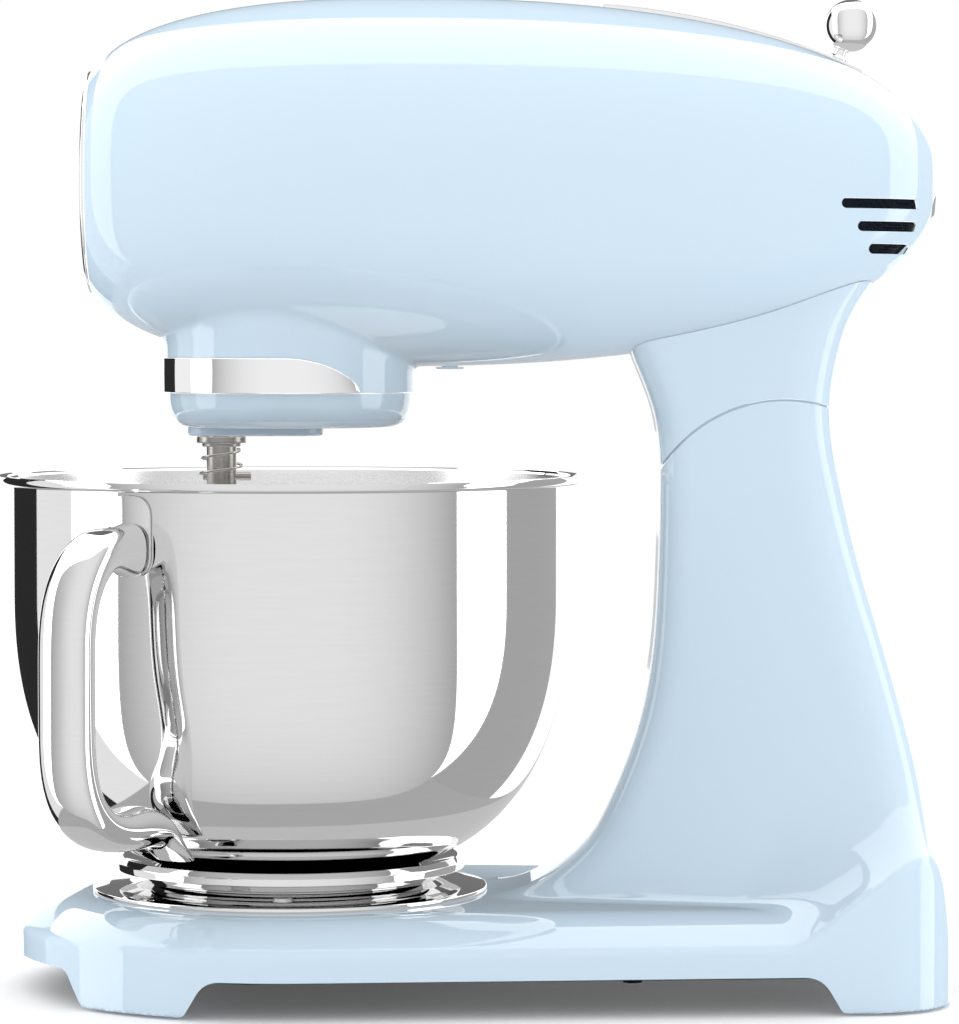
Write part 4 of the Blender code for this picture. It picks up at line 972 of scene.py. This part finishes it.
def nose_trim():
    """Ring, cap and accessory socket at the head's front."""
    nose = FRONT_OPENING_X - 0.3
    axis_at = (0, HEAD_Z)
    ring = [(38.2, nose, 0), (42.3, nose, 0.3), (42.1, nose - 1.0, 0.5), (41.2, nose - 1.6, 0.5)]
    ring += [(38.2, nose - 1.5, 0.3)]
    dress(lathe("nose_ring", rounded(ring, 0), axis_at, "X"), "chrome", "head", "chrome", "front_ring")
    cap = [(0, nose + 0.6, 0), (37.8, nose + 0.6, 0.3), (37.8, nose - 1.1, 0.8), (30, nose - 2.4, 20)]
    cap += [(15, nose - 3.3, 20), (0, nose - 3.5, 0)]
    dress(lathe("nose_cap", rounded(cap, 0), axis_at, "X"), "enamel", "cap", "enamel", "front_cap")
    hub = [(12.5, -118), (16.5, -118), (16.5, -139.6), (37.5, -139.6), (37.5, -141.8), (12.5, -141.8)]
    hub = lathe("socket_plate", rounded(hub, 0.5), axis_at, "X")
    dress(hub, "cast", "head", "cast", "accessory_hub")


def tail_trim():
    """Ring and cap at the head's rear."""
    axis_at = (0, HEAD_Z)
    tail = REAR_OPENING_X + 0.3
    ring = rounded([(14.6, tail, 0), (16.1, tail, 0.2), (14.9, tail + 1.3, 0.2), (14.6, tail + 1.3, 0)], 0)
    dress(lathe("tail_ring", ring, axis_at, "X"), "chrome", "head", "chrome", "rear_ring")
    cap = [(0, tail - 3, 0), (14.2, tail - 3, 0.3), (14.2, tail + 1.4, 0.8), (8, tail + 2.7, 8)]
    cap.append((0, tail + 3.1, 0))
    dress(lathe("tail_cap", rounded(cap, 0), axis_at, "X"), "enamel", "head", "enamel", "rear_cap")


def hole_plug():
    """The stopper in the head's underside."""
    low = HEAD_Z - HEAD_R
    profile = [(0, low + 4, 0), (3, low + 4, 0.2), (3, low - 0.3, 0), (5.4, low - 0.3, 0.2)]
    profile += [(5.2, low - 1, 0.4), (0, low - 1.1, 0)]
    plug = lathe("hole_plug", rounded(profile, 0), (PLUG_X, 0), steps=64)
    dress(plug, "stopper", "head", "nylon", "underside_plug")


def speed_rail():
    """The slotted chrome rail that the lever runs in."""
    rail = rail_prism("rail", RAIL_R - 1.2, RAIL_R + 0.9, RAIL_START + 0.06, RAIL_END - 0.06, RAIL_W / 2)
    combine(rail, rail_prism("slot", RAIL_R - 5, RAIL_R + 5, 5.4, 23.2, 2.8))
    soften(rail, 0.35)
    dress(rail, "chrome", "head", "chrome", "speed_rail")


def lever():
    """The lever's stem and its ball knob."""
    t = math.radians(LEVER_ANGLE)
    up = Vector((math.sin(t), 0, math.cos(t)))
    across = Vector((math.cos(t), 0, -math.sin(t)))
    centre = Vector((RAIL_X, 0, RAIL_Z))

    def turned(name, profile, steps=96):
        rings = []
        for radius, run in profile:
            turns = [math.tau * k / steps for k in range(steps)]
            offsets = [across * (radius * math.cos(a)) + Vector((0, radius * math.sin(a), 0)) for a in turns]
            rings.append([centre + up * run + offset for offset in offsets])
        return skin(name, rings)

    low = KNOB_ARC_R - KNOB_R
    stem = [(2.2, RAIL_R - 12), (2.2, RAIL_R + 0.4), (3.6, RAIL_R + 1.2), (3.5, RAIL_R + 1.8)]
    stem += [(2.3, RAIL_R + 2.6), (2.2, RAIL_R + 3.4), (2.2, low + 2.4)]
    dress(turned("lever_rod", stem), "chrome", "lever", "chrome", "lever_stem")
    ball = [(2.4, low - 0.2), (3.1, low + 0.1)]
    for i in range(49):
        turn = math.radians(17 + 163 * i / 48)
        ball.append((max(KNOB_R * math.sin(turn), 0.02), KNOB_ARC_R - KNOB_R * math.cos(turn)))
    dress(turned("lever_ball", ball), "chrome", "lever", "chrome", "lever_knob")


# ---------------------------------------------------------------- hub


def hub():
    """The turning dish, with the boss that carries the beater's shaft."""
    centre = (BOWL_X, 0)
    profile = [(7.3, DISH_Z)]
    for i in range(25):
        turn = math.radians(90 * i / 24)
        out, up = math.sin(turn) ** 0.83, math.cos(turn) ** 0.83
        profile.append((DISH_R - 9.5 + 9.5 * out, DISH_Z + 12.5 - 12.5 * up))
    profile += [(DISH_R, DISH_TOP_Z), (43.6, DISH_TOP_Z), (43.6, 215.4), (42.8, DISH_FLOOR_Z)]
    profile += [(10.4, DISH_FLOOR_Z), (10.4, 224), (7.3, 224)]
    dish = lathe("hub_casting", profile, centre)
    outline = arc((BEATER_X, 0), 13.0, -180, 0, 40) + arc(centre, 13.0, 0, 180, 40)
    boss = soften(prism("boss", outline, 209.6, DISH_Z + 0.6), 1.2, 5)
    combine(dish, boss, operation="UNION")
    combine(dish, rod("bore", 6.1, 200, 215.5, (BEATER_X, 0)))
    dress(dish, "enamel", "hub", "enamel", "hub_dish")


def beater_drive():
    """The beater's shaft, with its pin, washer and spring."""
    centre = (BEATER_X, 0)
    profile = rounded([(0, 182, 0), (5.7, 182, 0.8), (5.7, 225.6, 0.3), (0, 225.6, 0)], 0)
    shaft = lathe("drive_shaft", profile, centre, steps=96)
    combine(shaft, rod("hole", 1.9, BEATER_X - 20, BEATER_X + 20, (0, 194), "X"))
    dress(shaft, "gunmetal", "planet", "steel", "beater_shaft")
    front, rear = BEATER_X - 7, BEATER_X + 11.3
    profile = rounded([(0, front, 0), (1.6, front), (1.6, rear), (0, rear, 0)], 0.35)
    dress(lathe("drive_pin", profile, (0, 194), "X", 48), "gunmetal", "planet", "steel", "cross_pin")
    washer = [(6.0, 205.4), (7.4, 205.4), (7.4, 206.8), (9.5, 206.8), (9.5, 209.2), (6.0, 209.2)]
    washer = lathe("shaft_washer", rounded(washer, 0.4), centre, steps=96)
    dress(washer, "gunmetal", "planet", "steel", "beater_washer")
    turns, steps = 1.75, 200
    points = []
    for i in range(steps + 1):
        share = i / steps
        a = math.tau * (1 / 12 - turns * share)
        r = 6.9 + 1.3 * share
        points.append((BEATER_X + r * math.cos(a), r * math.sin(a), 204.4 - 10.3 * share))
    dress(wire("shaft_spring", points, 0.5), "gunmetal", "planet", "steel", "beater_spring")


def vent_liners():
    """Painted shade: black sheets close behind the vents, which follow the inside of the head, with a web at
    the middle.
    """

    def shade_sheet(x, y, z):
        depth = torpedo_field(x, y, z)
        skin_depth = np.maximum(np.abs(depth + WALL + 2.2) - 0.7, 6 - np.abs(y))
        web = np.maximum(np.maximum(depth + WALL + 0.5, -9 - depth), np.abs(np.abs(y) - 5.5) - 1.5)
        block = np.maximum(np.abs(x - 149.5) - 21.5, np.abs(z - 287) - 17)
        return np.maximum(np.minimum(skin_depth, web), block)

    for side, low, high in (("left", -70, -3), ("right", 3, 70)):
        liner = field_mesh("lining_" + side, shade_sheet, (124, low, 266), (174, high, 308), THIN)
        # the black here is painted shade for the dark inside of the head behind the vents
        dress(liner, "black", "head", "black", "vent_liner_" + side)


def dress_cad():
    """Better materials for the CAD nodes that are still shown; the base cover gets black as painted shade."""
    slots = {part["node"]: part["material_slot"] for part in frame["record"]["subparts"]}
    for name, obj in frame["nodes"].items():
        if not obj.hide_render:
            # the base cover sits in the shadow under the base, so its black is painted shade
            look = "black" if name.startswith("base_cover") else slots[name]
            obj.material_slots[0].material = LOOKS[look]


# ---------------------------------------------------------------- studio


def studio_world():
    """Even soft light on matt surfaces. Glossy ones see a grey wall in an arch of light, and side panels.

    The ovals are measured on a mirror ball that faces the wall: nx runs across it and nz up it, from 0 at the
    middle to 1 at the edge."""
    world = bpy.data.worlds.new("studio")
    bpy.context.scene.world = world
    world.use_nodes = True
    tree = world.node_tree
    tree.nodes.clear()
    link = tree.links.new

    def calc(operation, a, b=0.0):
        node = tree.nodes.new("ShaderNodeMath")
        node.operation = operation
        for socket, value in zip(node.inputs, (a, b)):
            if isinstance(value, (int, float)):
                socket.default_value = value
            else:
                link(value, socket)
        return node.outputs[0]

    def choose(condition, yes, no):
        """Yes where the condition is 1, and no where it is 0."""
        otherwise = calc("MULTIPLY", calc("SUBTRACT", 1.0, condition), no)
        return calc("ADD", calc("MULTIPLY", condition, yes), otherwise)

    def oval(width, height, power):
        """Below 1 inside an oval with square shoulders."""
        a = calc("POWER", calc("DIVIDE", nx, width), power)
        b = calc("POWER", calc("DIVIDE", nz, height), power)
        return calc("ADD", a, b)

    direction = tree.nodes.new("ShaderNodeTexCoord").outputs["Generated"]
    split = tree.nodes.new("ShaderNodeSeparateXYZ")
    link(direction, split.inputs[0])
    dx, dy, dz = split.outputs
    length = calc("SQRT", calc("MAXIMUM", calc("SUBTRACT", 2.0, calc("MULTIPLY", dy, 2.0)), 0.0001))
    at_left = calc("LESS_THAN", dx, 0.0)
    below = calc("LESS_THAN", dz, 0.0)
    nx = calc("MULTIPLY", calc("ABSOLUTE", calc("DIVIDE", dx, length)), choose(at_left, 1.036, 1.0))
    nz = calc("ABSOLUTE", calc("DIVIDE", dz, length))
    inner = choose(below, oval(0.60, 0.575, 4.0), oval(0.60, 0.63, 4.0))
    outer = choose(below, oval(0.772, 0.61, 2.2), oval(0.772, 0.88, 4.0))
    fade_across = calc("MULTIPLY", calc("POWER", calc("DIVIDE", nx, 0.6), 3.3), 0.54)
    fade_down = calc("MULTIPLY", calc("POWER", calc("DIVIDE", nz, 0.69), 3.0), calc("MULTIPLY", below, 0.5))
    wall = calc("SUBTRACT", calc("SUBTRACT", 1.04, fade_across), fade_down)
    azimuth = calc("ARCTAN2", dx, calc("MULTIPLY", dy, -1.0))
    panels = tree.nodes.new("ShaderNodeValToRGB")
    panels.color_ramp.interpolation = "CONSTANT"
    elements = panels.color_ramp.elements
    while len(elements) < len(SIDE_PANELS):
        elements.new(0.5)
    for element, (degrees, tone) in zip(elements, SIDE_PANELS):
        element.position = (degrees + 180) / 360
        element.color = (tone, tone, tone, 1)
    link(calc("ADD", calc("DIVIDE", azimuth, math.tau), 0.5), panels.inputs[0])
    side = calc("MULTIPLY", panels.outputs[0], 2.0)
    steep = calc("GREATER_THAN", nz, nx)
    low = choose(calc("LESS_THAN", nz, 0.69), 0.52, 0.66)
    narrow = calc("MULTIPLY", below, calc("LESS_THAN", nx, 0.38))
    in_band = calc("MULTIPLY", calc("LESS_THAN", outer, 1.0), calc("SUBTRACT", 1.0, narrow))
    rest = choose(steep, choose(below, low, 0.2), side)
    reflected = choose(calc("LESS_THAN", inner, 1.0), wall, choose(in_band, BAND_LIGHT, rest))
    ray = tree.nodes.new("ShaderNodeLightPath").outputs
    strength = choose(ray["Is Diffuse Ray"], SOFT_LIGHT, choose(ray["Is Camera Ray"], 1.0, reflected))
    background = tree.nodes.new("ShaderNodeBackground")
    background.inputs["Color"].default_value = (1, 1, 1, 1)
    output = tree.nodes.new("ShaderNodeOutputWorld")
    link(strength, background.inputs["Strength"])
    link(background.outputs[0], output.inputs["Surface"])


def clear_reflections():
    """Leaves only the bowl and its fittings in the reflections, and lets the soft light past the head."""
    kept = ("mixing_bowl", "foot_ring", "lock_plate", "handle", "handle_mount")
    for obj in bpy.data.objects:
        if obj.type == "MESH" and obj.name not in kept:
            obj.visible_glossy = False
    bpy.data.objects["head_casting"].visible_diffuse = False


def floor():
    """A plain pale square that gives off a little light."""
    mesh = bpy.data.meshes.new("floor")
    half = FLOOR_HALF
    corners = [(-half, -half, 0), (half, -half, 0), (half, half, 0), (-half, half, 0)]
    mesh.from_pydata(corners, [], [(0, 1, 2, 3)])
    obj = bpy.data.objects.new("floor", mesh)
    bpy.context.scene.collection.objects.link(obj)
    look = make_finish("floor", (0.90, 0.90, 0.90), (0.92, 0.92, 0.92), (0.7, 0.8), 0, 3)
    shader = look.node_tree.nodes["Principled BSDF"]
    shader.inputs["Emission Color"].default_value = (1, 1, 1, 1)
    shader.inputs["Emission Strength"].default_value = FLOOR_GLOW
    mesh.materials.append(look)


def camera():
    """The side view, from a little above the head's underside."""
    data = bpy.data.cameras.new("camera")
    data.lens = LENS
    data.sensor_width = 36
    data.clip_end = 100
    obj = bpy.data.objects.new("camera", data)
    x, y, z = CAMERA_PLACE
    obj.location = Vector((x, MID_Y + y, z)) * MM
    obj.rotation_euler = (math.radians(90 - CAMERA_DOWN), 0, 0)
    bpy.context.scene.collection.objects.link(obj)
    bpy.context.scene.camera = obj


def main():
    """Builds the looks, then the stage."""
    bpy.context.scene.view_settings.view_transform = "Standard"
    base()
    lock_plate()
    button_and_gland()
    bowl()
    bowl_foot()
    bowl_handle()
    head()
    collar_band()
    nose_trim()
    tail_trim()
    hole_plug()
    speed_rail()
    lever()
    hub()
    beater_drive()
    vent_liners()
    dress_cad()
    studio_world()
    floor()
    clear_reflections()
    camera()


main()
